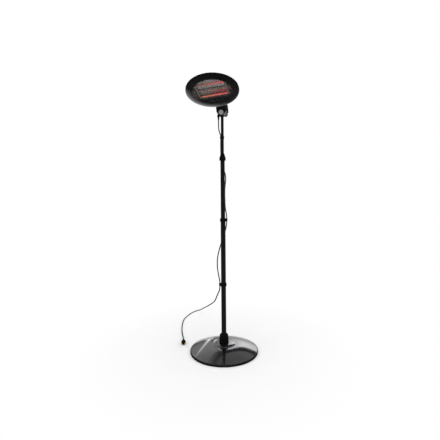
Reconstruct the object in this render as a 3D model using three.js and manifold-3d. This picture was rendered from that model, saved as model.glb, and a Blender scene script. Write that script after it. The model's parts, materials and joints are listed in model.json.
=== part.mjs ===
// Free-standing infrared patio heater: a round weighted base, a pole of three tubes with a telescoping
// inner tube, a bracket that leans and tilts, and a round head with three quartz heating tubes.
// Millimetres, +Z up, the origin in the middle of the base's underside, the front towards -Y.

import * as THREE from 'three';
import { mergeVertices } from 'three/addons/utils/BufferGeometryUtils.js';
import Module from 'manifold-3d';

const wasm = await Module();
wasm.setup();

// ---- Sides of the polygons that stand for circles ----
const roundBase = 32;
const roundHead = 28;
const roundPole = 20;

// ---- Clearances ----
const seatGap = 0.3; // between faces that rest on each other
const slipGap = 0.3; // round a tube, pin or screw in its bore

// ---- Base ----
const baseRadius = 250;
const trimHeight = 14;
const trimWall = 2.8;
const trimLip = 10;
const weightRadius = 214;
const weightThickness = 12;
const coverWall = 2;
const coverRimHeight = 17;
const coverShoulder = 6;
const domeHeight = 42; // from the cover's rim to the foot of its raised disc
const raisedDiscRadius = 82;
const raisedDiscHeight = 5;
const raisedDiscRun = 10; // of the slope round the disc
const footFlangeRadius = 60;
const footFlangeThickness = 6;
const footSpigotHeight = 120;
const footBoltCircle = 42;
const footSpigotWall = 2.5;
const footBoltRadius = 4;
const footBoltHeadHeight = 5;
const footBoltReach = 8; // into the weight
const collarFootRadius = 36;
const collarShoulderRadius = 32.3;
const collarTopRadius = 21;
const collarHeight = 70;
const collarWall = 2.5;
const collarFootHeight = 4;

// ---- Pole ----
const poleRadius = 18;
const upperPoleRadius = 16.2;
const innerPoleRadius = 10.7;
const poleWall = 1.5;
const lowerPoleLength = 466;
const middlePoleLength = 459;
const upperPoleLength = 450;
const innerPoleLength = 560;
const innerPoleDepth = 235; // how far the inner tube reaches into the upper tube at rest
const jointRingHeight = 20;
const jointRingProud = 2;
const jointSpigotLength = 45;
const jointWall = 3;
const lockNutRadius = 23.5;
const lockNutSkirt = 24;
const lockNutCone = 30;
const lockNutLip = 1.6;
const lockSeatDepth = 20;
const lockSleeveWall = 2.6;
const lockFingerHeight = 22;
const lockFingerSlot = 2;
const lockFingerFoot = 4.4; // wall of a finger at its foot
const lockFingerEnd = 2; // and at its end
const lockSleeveStep = 3;
const bushFlange = 10;
const bushPlug = 25;
const bushWall = 3;

// ---- Cord ----
const cordRadius = 4;
const cordSides = 8;
const clipHeight = 22;
const clipWall = 2.2;
const upperClipDrop = 184; // from the pole head's axis down to the upper clip's middle
const upperEye = [-11.6, 11.6]; // where the cord passes through each clip
const middleEye = [26.9, 4];
const lowerEye = [-27, 1];

// ---- Pole head: the fitting on top of the inner tube ----
const headTurn = THREE.MathUtils.degToRad(-12.5);
const barrelRadius = 17;
const barrelLength = 50;
const sleeveLength = 33; // from the barrel's axis down
const sleeveRadius = 13.4;
const poleInPoleHead = 22; // how far the inner tube stands in the sleeve
const headScrewRadius = 2.5;
const headScrewRise = 9; // above the sleeve's foot
const pivotRadius = 5;
const lugRadius = 9;
const lugThickness = 9;
const lockRadius = 38.5; // from the pivot to the lean lock's screw
const lockAngle = THREE.MathUtils.degToRad(-30);
const lockScrewRadius = 3.7;
const glandOffset = 27;
const glandSetBack = -5;
const glandBossTop = -14;
const glandBossHeight = 14;
const glandBossWall = 2.5;
const glandRadius = 7;
const glandLength = 26;

// ---- Leaning bracket ----
const leanAngle = THREE.MathUtils.degToRad(6.6);
const leanReach = THREE.MathUtils.degToRad(15); // either way from upright
const bracketWidth = 70;
const bracketWall = 4;
const earThickness = 7;
const earRadius = 30;
const rearEarRadius = 22;
const boxFloor = 21; // above the pivot
const boxHeight = 44;
const boxReach = 72; // behind the pivot
const skirtDrop = 18;
const tiltHeight = 90; // of the tilt axis above the pivot
const cheekRadius = 22;
const cheekWall = 7;
const pivotCapRadius = 18;
const pivotCapHeight = 5;
const slotWidth = 3.4;
const slotDepth = 1.6;
const leanKnobRadius = 17.5;
const leanKnobHeight = 14;
const leanCapRadius = 14;
const leanCapHeight = 2;
const tiltBoltRadius = 5;
const tiltBoltHeadRadius = 9;
const tiltBoltHeadHeight = 6;
const tiltNutHeight = 8;
const tiltBoltEnd = 12; // past the cheek
const pivotNutHeight = 9;
const pivotBoltEnd = 14; // past the rear ear
const lobeMargin = 6; // of the bracket round its curved slot
const rearCoverThickness = 3;
const rearCoverPad = 5;
const coverScrewRadius = 2;
const coverScrewInset = 9;
const coverScrewReach = 4;
const coverScrewHead = 2;
const terminalSize = [34, 30, 16];
const terminalSetBack = 24;
const leanKnobNeck = 4;
const leanCapRecess = 1.2;

// ---- Heater head ----
const tiltAngle = THREE.MathUtils.degToRad(-25.8);
const headRadius = 185;
const headDepth = 74;
const rimHeight = 6;
const shellWall = 2.4;
const pivotBehindCentre = 230; // from the head's centre back to the tilt axis
const pivotAboveRim = 79;
const bezelWall = 2.2;
const bezelBulge = 12;
const windowRadius = 136;
const guardRingWidth = 12;
const guardThickness = 3;
const guardPitch = 30;
const guardWire = 1.8;
const panRadius = 147;
const panDepth = 34;
const panWall = 1.5;
const panFlange = 17;
const panBend = 5;
const leadHoleRadius = 5;
const tubePitch = 62;
const tubeCount = 3;
const tubeRadius = 5.5;
const tubeWall = 1.1;
const tubeLength = 222;
const tubeDepth = 11; // of the tubes' axes behind the rim
const elementClearance = 0.4;
const elementRadius = tubeRadius - tubeWall - elementClearance;
const troughWidth = 56;
const troughDepth = 16;
const troughWall = 1.2;
const troughClearance = 4; // between the trough's ends and the end holders
const holderWall = 1.6;
const ceramicSize = 13;
const ceramicLength = 9;
const ceramicMargin = 2; // of the bar past the outer tubes' walls
const tubeEnd = 4; // of a tube past its ceramic bar
const elementEnd = 3; // of a wire inside its tube's end
const neckEndRadius = 20;
const neckFront = 25;
const neckRise = 12; // of the neck's top above the shell at its front end
const neckWall = 4;
const neckScrewSpots = [[-15, 70], [15, 70]];
const neckScrewRadius = 2.4;
const neckScrewHead = 2.5;
const rimScrewRadius = 1.5;
const rimScrewHeight = 3.2;
const rimScrewHead = 1.6;
const rimScrewCount = 3;
const bezelSpigotWall = 4;

// ---- Plug ----
const plugRadius = 17;
const plugLength = 34;
const plugTail = 30;
const pinRadius = 2.4;
const pinLength = 19;
const pinSpacing = 19;
const pinDepth = 8;
const pinBridge = 3;

// ---- Heights that follow from the sizes above ----
const weightTop = weightThickness;
const flangeBottom = weightTop + seatGap;
const flangeTop = flangeBottom + footFlangeThickness;
const coverTop = coverRimHeight + domeHeight + raisedDiscHeight;
const collarBottom = coverTop + seatGap;
const lowerPoleBottom = flangeTop + seatGap;
const lowerJoint = lowerPoleBottom + lowerPoleLength + seatGap;
const middlePoleBottom = lowerJoint + jointRingHeight + seatGap;
const upperJoint = middlePoleBottom + middlePoleLength + seatGap;
const upperPoleBottom = upperJoint + jointRingHeight + seatGap;
const upperPoleTop = upperPoleBottom + upperPoleLength;
const lockBottom = upperPoleTop - lockSeatDepth;
const lockShoulder = lockBottom + lockNutSkirt;
const lockTop = lockShoulder + lockNutCone;
const innerPoleBottom = upperPoleTop - innerPoleDepth;
const innerPoleTop = innerPoleBottom + innerPoleLength;
const pivotHeight = innerPoleTop + sleeveLength - poleInPoleHead;

// ---- Materials ----
const finish = {
  glossBlack: { color: 0x121214, roughness: 0.18, metalness: 0.1 },
  satinBlack: { color: 0x17171a, roughness: 0.38, metalness: 0.2 },
  mouldedBlack: { color: 0x1b1b1d, roughness: 0.55, metalness: 0 },
  rubber: { color: 0x141414, roughness: 0.8, metalness: 0 },
  iron: { color: 0x3c3c3e, roughness: 0.7, metalness: 0.6 },
  zinc: { color: 0xa8aaad, roughness: 0.35, metalness: 1 },
  silver: { color: 0xb4b5b8, roughness: 0.32, metalness: 0.9 },
  greyCap: { color: 0x7e8083, roughness: 0.45, metalness: 0.3 },
  polished: { color: 0xc9cbce, roughness: 0.16, metalness: 1 },
  quartz: { color: 0xd9784a, roughness: 0.12, metalness: 0 },
  element: { color: 0xc8401c, roughness: 0.5, metalness: 0.6 },
  ceramic: { color: 0xe6e0d2, roughness: 0.6, metalness: 0 },
  brass: { color: 0xb8963f, roughness: 0.3, metalness: 1 },
};

// ---- Solids ----
function outward(geometry) {
  const position = geometry.getAttribute('position');
  const index = geometry.index.array;
  const [a, b, c] = [new THREE.Vector3(), new THREE.Vector3(), new THREE.Vector3()];
  let volume = 0;
  for (let i = 0; i < index.length; i += 3) {
    a.fromBufferAttribute(position, index[i]);
    b.fromBufferAttribute(position, index[i + 1]);
    c.fromBufferAttribute(position, index[i + 2]);
    volume += a.dot(b.cross(c));
  }
  if (volume < 0) {
    for (let i = 0; i < index.length; i += 3) {
      [index[i + 1], index[i + 2]] = [index[i + 2], index[i + 1]];
    }
  }
  return geometry;
}

function solid(geometry) {
  geometry.deleteAttribute('normal');
  geometry.deleteAttribute('uv');
  const merged = mergeVertices(geometry, 1e-4);
  const corners = [];
  for (let i = 0; i < merged.index.count; i += 3) {
    const [a, b, c] = [merged.index.getX(i), merged.index.getX(i + 1), merged.index.getX(i + 2)];
    if (a !== b && b !== c && c !== a) corners.push(a, b, c);
  }
  merged.setIndex(corners);
  outward(merged);
  return new wasm.Manifold(new wasm.Mesh({
    numProp: 3,
    vertProperties: new Float32Array(merged.getAttribute('position').array),
    triVerts: new Uint32Array(merged.index.array),
  }));
}

function geometryOf(body) {
  const { vertProperties, triVerts } = body.getMesh();
  const geometry = new THREE.BufferGeometry();
  geometry.setAttribute('position', new THREE.BufferAttribute(new Float32Array(vertProperties), 3));
  geometry.setIndex(new THREE.BufferAttribute(new Uint32Array(triVerts), 1));
  return geometry;
}

function join(first, ...others) {
  return others.reduce((sum, body) => sum.add(body), first);
}

function cut(body, ...tools) {
  return tools.reduce((rest, tool) => rest.subtract(tool), body);
}

// A solid turned about Z from a profile of [radius, height] points.
function turned(profile, segments = 24) {
  const points = profile.map(([radius, height]) => new THREE.Vector2(radius, height));
  if (profile[0][0] > 0) points.push(points[0].clone());
  return solid(new THREE.LatheGeometry(points, segments).rotateX(Math.PI / 2));
}

function ring(inner, outer, bottom, top, segments = 24) {
  return turned([[inner, bottom], [outer, bottom], [outer, top], [inner, top]], segments);
}

function block(size, middle) {
  return solid(new THREE.BoxGeometry(...size).translate(...middle));
}

// A round bar between two points; endRadius makes it a cone.
function rod(radius, from, to, sides = 16, endRadius = radius) {
  const start = new THREE.Vector3(...from);
  const end = new THREE.Vector3(...to);
  const along = end.clone().sub(start);
  const bar = new THREE.CylinderGeometry(endRadius, radius, along.length(), sides);
  const up = new THREE.Vector3(0, 1, 0);
  bar.applyQuaternion(new THREE.Quaternion().setFromUnitVectors(up, along.normalize()));
  bar.translate(...start.add(end).multiplyScalar(0.5).toArray());
  return solid(bar);
}

// A plate whose outline is drawn in X and Z, standing between two Y values.
function uprightPlate(shape, front, back, curveSegments = 10) {
  const depth = back - front;
  const plate = new THREE.ExtrudeGeometry(shape, { depth, bevelEnabled: false, curveSegments });
  return solid(plate.rotateX(Math.PI / 2).translate(0, back, 0));
}

// A plate whose outline is drawn in Y and Z, standing between two X values.
function sidePlate(shape, left, right, curveSegments = 10) {
  const depth = right - left;
  const plate = new THREE.ExtrudeGeometry(shape, { depth, bevelEnabled: false, curveSegments });
  const toSide = new THREE.Matrix4().makeBasis(
    new THREE.Vector3(0, 1, 0), new THREE.Vector3(0, 0, 1), new THREE.Vector3(1, 0, 0));
  return solid(plate.applyMatrix4(toSide).translate(left, 0, 0));
}

function outline(points) {
  return new THREE.Shape(points.map(([x, y]) => new THREE.Vector2(x, y)));
}

function placeEach(parent, name, bodies, look) {
  bodies.forEach((body, i) => place(parent, `${name}_${i + 1}`, body, look));
}

function place(parent, name, body, look) {
  const geometry = body.isBufferGeometry ? body : geometryOf(body);
  const mesh = new THREE.Mesh(geometry, new THREE.MeshStandardMaterial(look));
  mesh.name = name;
  parent.add(mesh);
}

function polar(radius, angle, height) {
  return [radius * Math.cos(angle), radius * Math.sin(angle), height];
}

function around(count, make, start = 0) {
  return Array.from({ length: count }, (_, i) => make(start + (i * 2 * Math.PI) / count));
}

const heater = new THREE.Group();

// ---- Base: an iron weight under a domed cover, with a rubber trim round the edge ----
function buildBase() {
  const foot = [[0, 0], [weightRadius - 2, 0], [weightRadius, 2], [weightRadius, weightTop], [0, weightTop]];
  const tapped = around(3, (angle) => rod(footBoltRadius + slipGap,
    polar(footBoltCircle, angle, weightTop - footBoltReach - slipGap),
    polar(footBoltCircle, angle, weightTop + 1), 12));
  place(heater, 'base_weight', cut(turned(foot, roundHead), ...tapped), finish.iron);

  const rimRadius = baseRadius - trimWall - seatGap;
  const rimBottom = trimWall + seatGap;
  const domeRun = rimRadius - coverShoulder - raisedDiscRadius - raisedDiscRun;
  const domeSteps = 4;
  const holeRadius = poleRadius + 1;
  const crown = [];
  for (let i = 0; i <= domeSteps; i += 1) {
    const t = i / domeSteps;
    const rise = domeHeight * (1 - (1 - t) ** 1.55);
    crown.push([rimRadius - coverShoulder - t * domeRun, coverRimHeight + rise]);
  }
  const outer = [[rimRadius, rimBottom], [rimRadius, coverRimHeight - coverShoulder],
    [rimRadius - coverShoulder / 3, coverRimHeight - coverShoulder / 3], ...crown,
    [raisedDiscRadius + 2, coverTop - raisedDiscHeight + 2], [raisedDiscRadius - 1, coverTop],
    [holeRadius, coverTop]];
  const inner = [[rimRadius - coverWall, rimBottom], [rimRadius - coverWall, coverRimHeight - coverShoulder],
    ...crown.slice(1).map(([r, z]) => [r - coverWall / 2, z - coverWall]),
    [raisedDiscRadius - 3, coverTop - coverWall], [holeRadius, coverTop - coverWall]];
  place(heater, 'base_cover', turned([...outer, ...inner.reverse()], roundBase), finish.glossBlack);

  const trim = [[baseRadius - trimLip, 0], [baseRadius - 1, 0], [baseRadius, 1], [baseRadius, trimHeight],
    [baseRadius - trimWall, trimHeight], [baseRadius - trimWall, trimWall], [baseRadius - trimLip, trimWall]];
  place(heater, 'edge_trim', turned(trim, roundBase), finish.rubber);
}

// ---- Pole foot: a flange bolted to the weight, with the spigot that the lower tube stands on ----
function buildFoot() {
  const spigotRadius = poleRadius - poleWall - slipGap;
  const flange = turned([[spigotRadius - footSpigotWall, flangeBottom], [footFlangeRadius, flangeBottom],
    [footFlangeRadius, flangeTop], [spigotRadius, flangeTop], [spigotRadius, flangeTop + footSpigotHeight],
    [spigotRadius - footSpigotWall, flangeTop + footSpigotHeight]], 24);
  const holes = around(3, (angle) => rod(footBoltRadius + slipGap,
    polar(footBoltCircle, angle, flangeBottom - 1), polar(footBoltCircle, angle, flangeTop + 1), 12));
  place(heater, 'pole_foot', cut(flange, ...holes), finish.satinBlack);

  const bolts = around(3, (angle) => join(
    rod(footBoltRadius, polar(footBoltCircle, angle, weightTop - footBoltReach),
      polar(footBoltCircle, angle, flangeTop + seatGap + 1), 12),
    rod(footBoltRadius * 1.7, polar(footBoltCircle, angle, flangeTop + seatGap),
      polar(footBoltCircle, angle, flangeTop + seatGap + footBoltHeadHeight), 6)));
  placeEach(heater, 'foot_bolt', bolts, finish.zinc);

  const bore = poleRadius + slipGap;
  const top = collarBottom + collarHeight;
  const collar = turned([[collarFootRadius - collarWall, collarBottom], [collarFootRadius, collarBottom],
    [collarFootRadius, collarBottom + collarFootHeight], [collarShoulderRadius, top - collarHeight * 0.28],
    [collarShoulderRadius - 1.5, top - collarHeight * 0.18],
    [collarShoulderRadius - 5, top - collarHeight * 0.1],
    [collarTopRadius, top], [bore, top], [bore, top - collarHeight * 0.16],
    [collarShoulderRadius - collarWall - 2, top - collarHeight * 0.28]], 28);
  place(heater, 'base_collar', collar, finish.mouldedBlack);
}

// ---- Pole: three outer tubes with a ring joint between each two ----
function poleJoint(bottom, lowerRadius, upperRadius) {
  const ringRadius = lowerRadius + jointRingProud;
  const lowerSpigot = lowerRadius - poleWall - slipGap;
  const upperSpigot = upperRadius - poleWall - slipGap;
  const bore = Math.min(lowerSpigot, upperSpigot) - jointWall;
  const top = bottom + jointRingHeight;
  return turned([[bore, bottom - jointSpigotLength], [lowerSpigot, bottom - jointSpigotLength],
    [lowerSpigot, bottom], [ringRadius - 1, bottom], [ringRadius, bottom + 1], [ringRadius, top - 1],
    [ringRadius - 1, top], [upperSpigot, top], [upperSpigot, top + jointSpigotLength],
    [bore, top + jointSpigotLength]], roundPole);
}

function buildPole() {
  const tube = (radius, bottom, length) => ring(radius - poleWall, radius, bottom, bottom + length,
    roundPole);
  place(heater, 'lower_pole', tube(poleRadius, lowerPoleBottom, lowerPoleLength), finish.satinBlack);
  place(heater, 'middle_pole', tube(poleRadius, middlePoleBottom, middlePoleLength), finish.satinBlack);
  place(heater, 'pole_joint_lower', poleJoint(lowerJoint, poleRadius, poleRadius), finish.mouldedBlack);
  place(heater, 'pole_joint_upper', poleJoint(upperJoint, poleRadius, upperPoleRadius), finish.mouldedBlack);
  place(heater, 'upper_pole', tube(upperPoleRadius, upperPoleBottom, upperPoleLength), finish.satinBlack);
}

// ---- Height lock: a split sleeve on the top of the upper tube, and the nut that closes its fingers ----
function buildHeightLock() {
  const seat = upperPoleRadius + slipGap;
  const bore = innerPoleRadius + slipGap;
  const seatTop = upperPoleTop + seatGap;
  const sleeveRadius = seat + lockSleeveWall;
  const shoulder = seatTop + lockSleeveStep;
  const fingerTop = seatTop + lockFingerHeight;
  const fingerFoot = bore + lockFingerFoot;
  const fingerEnd = bore + lockFingerEnd;
  const sleeve = turned([[seat, lockBottom + 2], [sleeveRadius, lockBottom + 2], [sleeveRadius, shoulder - 1],
    [sleeveRadius - 1, shoulder], [fingerFoot, shoulder], [fingerEnd, fingerTop], [bore, fingerTop],
    [bore, seatTop], [seat, seatTop]], 24);
  const slots = [0, Math.PI / 2].map((angle) => solid(new THREE.BoxGeometry(
    2 * sleeveRadius, lockFingerSlot, fingerTop - shoulder).rotateZ(angle)
    .translate(0, 0, (fingerTop + shoulder) / 2 + 1)));
  place(heater, 'lock_sleeve', cut(sleeve, ...slots), finish.mouldedBlack);

  const nutBore = sleeveRadius + slipGap;
  const coneFoot = fingerFoot + slipGap;
  const coneTop = fingerEnd + slipGap;
  const nut = turned([[nutBore, lockBottom], [lockNutRadius - 1, lockBottom],
    [lockNutRadius, lockBottom + 1.5],
    [lockNutRadius, lockShoulder - 3], [lockNutRadius - 2, lockShoulder + 4],
    [lockNutRadius - 5.5, lockShoulder + 13], [lockNutRadius - 7, lockTop - 9],
    [bore + lockNutLip, lockTop], [bore, lockTop], [bore, fingerTop + seatGap],
    [coneTop, fingerTop + seatGap],
    [coneFoot, shoulder + seatGap], [nutBore, shoulder + seatGap]], 28);
  place(heater, 'lock_nut', nut, finish.mouldedBlack);
}

// ---- Inner tube with the bush that guides its foot in the upper tube ----
function buildInnerPole() {
  const tube = ring(innerPoleRadius - poleWall, innerPoleRadius, innerPoleBottom, innerPoleTop, 24);
  place(heater, 'inner_pole', tube, finish.satinBlack);
  const plug = innerPoleRadius - poleWall - slipGap;
  const guide = upperPoleRadius - poleWall - slipGap;
  const bottom = innerPoleBottom - seatGap - bushFlange;
  const bush = turned([[plug - bushWall, bottom], [guide - 1, bottom], [guide, bottom + 1],
    [guide, bottom + bushFlange], [plug, bottom + bushFlange], [plug, innerPoleBottom + bushPlug],
    [plug - bushWall, innerPoleBottom + bushPlug]], 24);
  place(heater, 'inner_pole_bush', bush, finish.mouldedBlack);
}

// ---- Cable clips: a band round the pole with an eye for the cord ----
function cableClip(poleSize, eyeAt, middle) {
  const bottom = middle - clipHeight / 2;
  const top = middle + clipHeight / 2;
  const eye = cordRadius + slipGap;
  const [x, y] = eyeAt;
  const band = rod(poleSize + slipGap + clipWall, [0, 0, bottom], [0, 0, top], 24);
  const eyeBody = rod(eye + clipWall, [x, y, bottom], [x, y, top], 16);
  const reach = Math.hypot(x, y);
  const angle = Math.atan2(y, x);
  const bridge = solid(new THREE.BoxGeometry(reach, eye * 1.6, clipHeight).translate(reach / 2, 0, middle)
    .rotateZ(angle));
  return cut(join(band, eyeBody, bridge),
    rod(poleSize + slipGap, [0, 0, bottom - 1], [0, 0, top + 1], 24),
    rod(eye + 0.2, [x, y, bottom - 1], [x, y, top + 1], 16));
}

const upperClipMiddle = pivotHeight - upperClipDrop;
const middleClipMiddle = upperJoint + jointRingHeight / 2;
const lowerClipMiddle = lowerJoint + jointRingHeight / 2;

function buildClips() {
  const clips = {
    cable_clip_upper: cableClip(innerPoleRadius, upperEye, upperClipMiddle),
    cable_clip_middle: cableClip(poleRadius + jointRingProud, middleEye, middleClipMiddle),
    cable_clip_lower: cableClip(poleRadius + jointRingProud, lowerEye, lowerClipMiddle),
  };
  for (const [name, clip] of Object.entries(clips)) place(heater, name, clip, finish.mouldedBlack);
}

// ---- Pole head: sleeve, cross barrel, lock lug and gland boss in one casting ----
const poleHead = new THREE.Group();
poleHead.position.z = pivotHeight;
poleHead.rotation.z = headTurn;
heater.add(poleHead);

const barrelEnd = barrelLength / 2;
const earFace = barrelEnd + seatGap; // inner face of each ear
const earFront = -(earFace + earThickness);
const lockAt = [lockRadius * Math.cos(lockAngle), lockRadius * Math.sin(lockAngle)];
const glandTop = glandBossTop - glandBossHeight;

function buildPoleHead() {
  const sleeveTop = poleInPoleHead - sleeveLength + seatGap;
  const sleeve = turned([[innerPoleRadius + slipGap, -sleeveLength], [sleeveRadius - 0.8, -sleeveLength],
    [sleeveRadius, -sleeveLength + 3], [barrelRadius - 1, -barrelRadius + 2], [barrelRadius - 3, -3], [0, -3],
    [0, sleeveTop], [innerPoleRadius + slipGap, sleeveTop]], 24);
  const barrel = rod(barrelRadius, [0, -barrelEnd, 0], [0, barrelEnd, 0], 24);
  const poleSpace = rod(innerPoleRadius + slipGap, [0, 0, -sleeveLength - 1], [0, 0, sleeveTop], 24);
  const [lockX, lockZ] = lockAt;
  const lug = rod(lugRadius, [lockX, -barrelEnd, lockZ], [lockX, -barrelEnd + lugThickness, lockZ], 20);
  const web = uprightPlate(outline([[0, -6], [0, -barrelRadius + 1], [lockX - 3, lockZ - lugRadius + 0.6],
    [lockX + 3, lockZ + lugRadius - 0.6], [barrelRadius - 5, -4]]), -barrelEnd, -barrelEnd + lugThickness);
  const boss = rod(glandRadius + glandBossWall, [-glandOffset, glandSetBack, glandTop],
    [-glandOffset, glandSetBack, glandBossTop]);
  const arm = block([glandOffset, 2 * glandRadius, glandBossHeight - 2],
    [-glandOffset / 2, glandSetBack, glandTop + glandBossHeight / 2]);
  const body = join(sleeve, barrel, lug, web, boss, arm);
  const pivotBore = rod(pivotRadius + slipGap, [0, -barrelEnd - 1, 0], [0, barrelEnd + 1, 0], 20);
  const lockBore = rod(lockScrewRadius + slipGap, [lockX, -barrelEnd - 1, lockZ],
    [lockX, -barrelEnd + lugThickness + 1, lockZ], 16);
  const screwHeight = -sleeveLength + headScrewRise;
  const screwBore = rod(headScrewRadius + slipGap, [0, innerPoleRadius - 1, screwHeight],
    [0, barrelRadius + 4, screwHeight], 12);
  place(poleHead, 'pole_head', cut(body, poleSpace, pivotBore, lockBore, screwBore), finish.mouldedBlack);
  place(poleHead, 'pole_head_screw', rod(headScrewRadius, [0, innerPoleRadius + seatGap, screwHeight],
    [0, barrelRadius - 1, screwHeight], 12), finish.zinc);

  const reliefTop = glandTop - seatGap;
  const gland = turned([[0, reliefTop - glandLength], [cordRadius + 1, reliefTop - glandLength],
    [glandRadius - 0.8, reliefTop - 9], [glandRadius - 0.8, reliefTop - 7],
    [glandRadius + 1.2, reliefTop - 6],
    [glandRadius + 1.2, reliefTop], [0, reliefTop]], 20);
  const glandGeometry = geometryOf(gland).translate(-glandOffset, glandSetBack, 0);
  place(poleHead, 'cord_gland', glandGeometry, finish.rubber);
}

// ---- Bracket: two ears on the pivot, a box for the terminals, and two cheeks for the tilt axis ----
const bracket = new THREE.Group();
bracket.rotation.y = -leanAngle;
poleHead.add(bracket);

function slotCutter(front, back) {
  const half = lockScrewRadius + slipGap + 0.4;
  const from = lockAngle - leanReach;
  const to = lockAngle + leanReach;
  const points = [];
  const arc = (cx, cz, radius, start, end, steps) => {
    for (let i = 0; i <= steps; i += 1) {
      const angle = start + ((end - start) * i) / steps;
      points.push([cx + radius * Math.cos(angle), cz + radius * Math.sin(angle)]);
    }
  };
  arc(0, 0, lockRadius + half, from, to, 6);
  const [toX, toZ] = polar(lockRadius, to, 0);
  arc(toX, toZ, half, to + 0.3, to + Math.PI - 0.3, 5);
  arc(0, 0, lockRadius - half, to, from, 6);
  const [fromX, fromZ] = polar(lockRadius, from, 0);
  arc(fromX, fromZ, half, from + Math.PI + 0.3, from + 2 * Math.PI - 0.3, 5);
  return uprightPlate(outline(points), front, back);
}

function earPlate(radius, front, back) {
  const foot = rod(radius, [0, front, 0], [0, back, 0], 28);
  const width = Math.min(2 * radius, bracketWidth);
  return join(foot, block([width, back - front, boxFloor + 1], [0, (front + back) / 2, (boxFloor + 1) / 2]));
}

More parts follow.
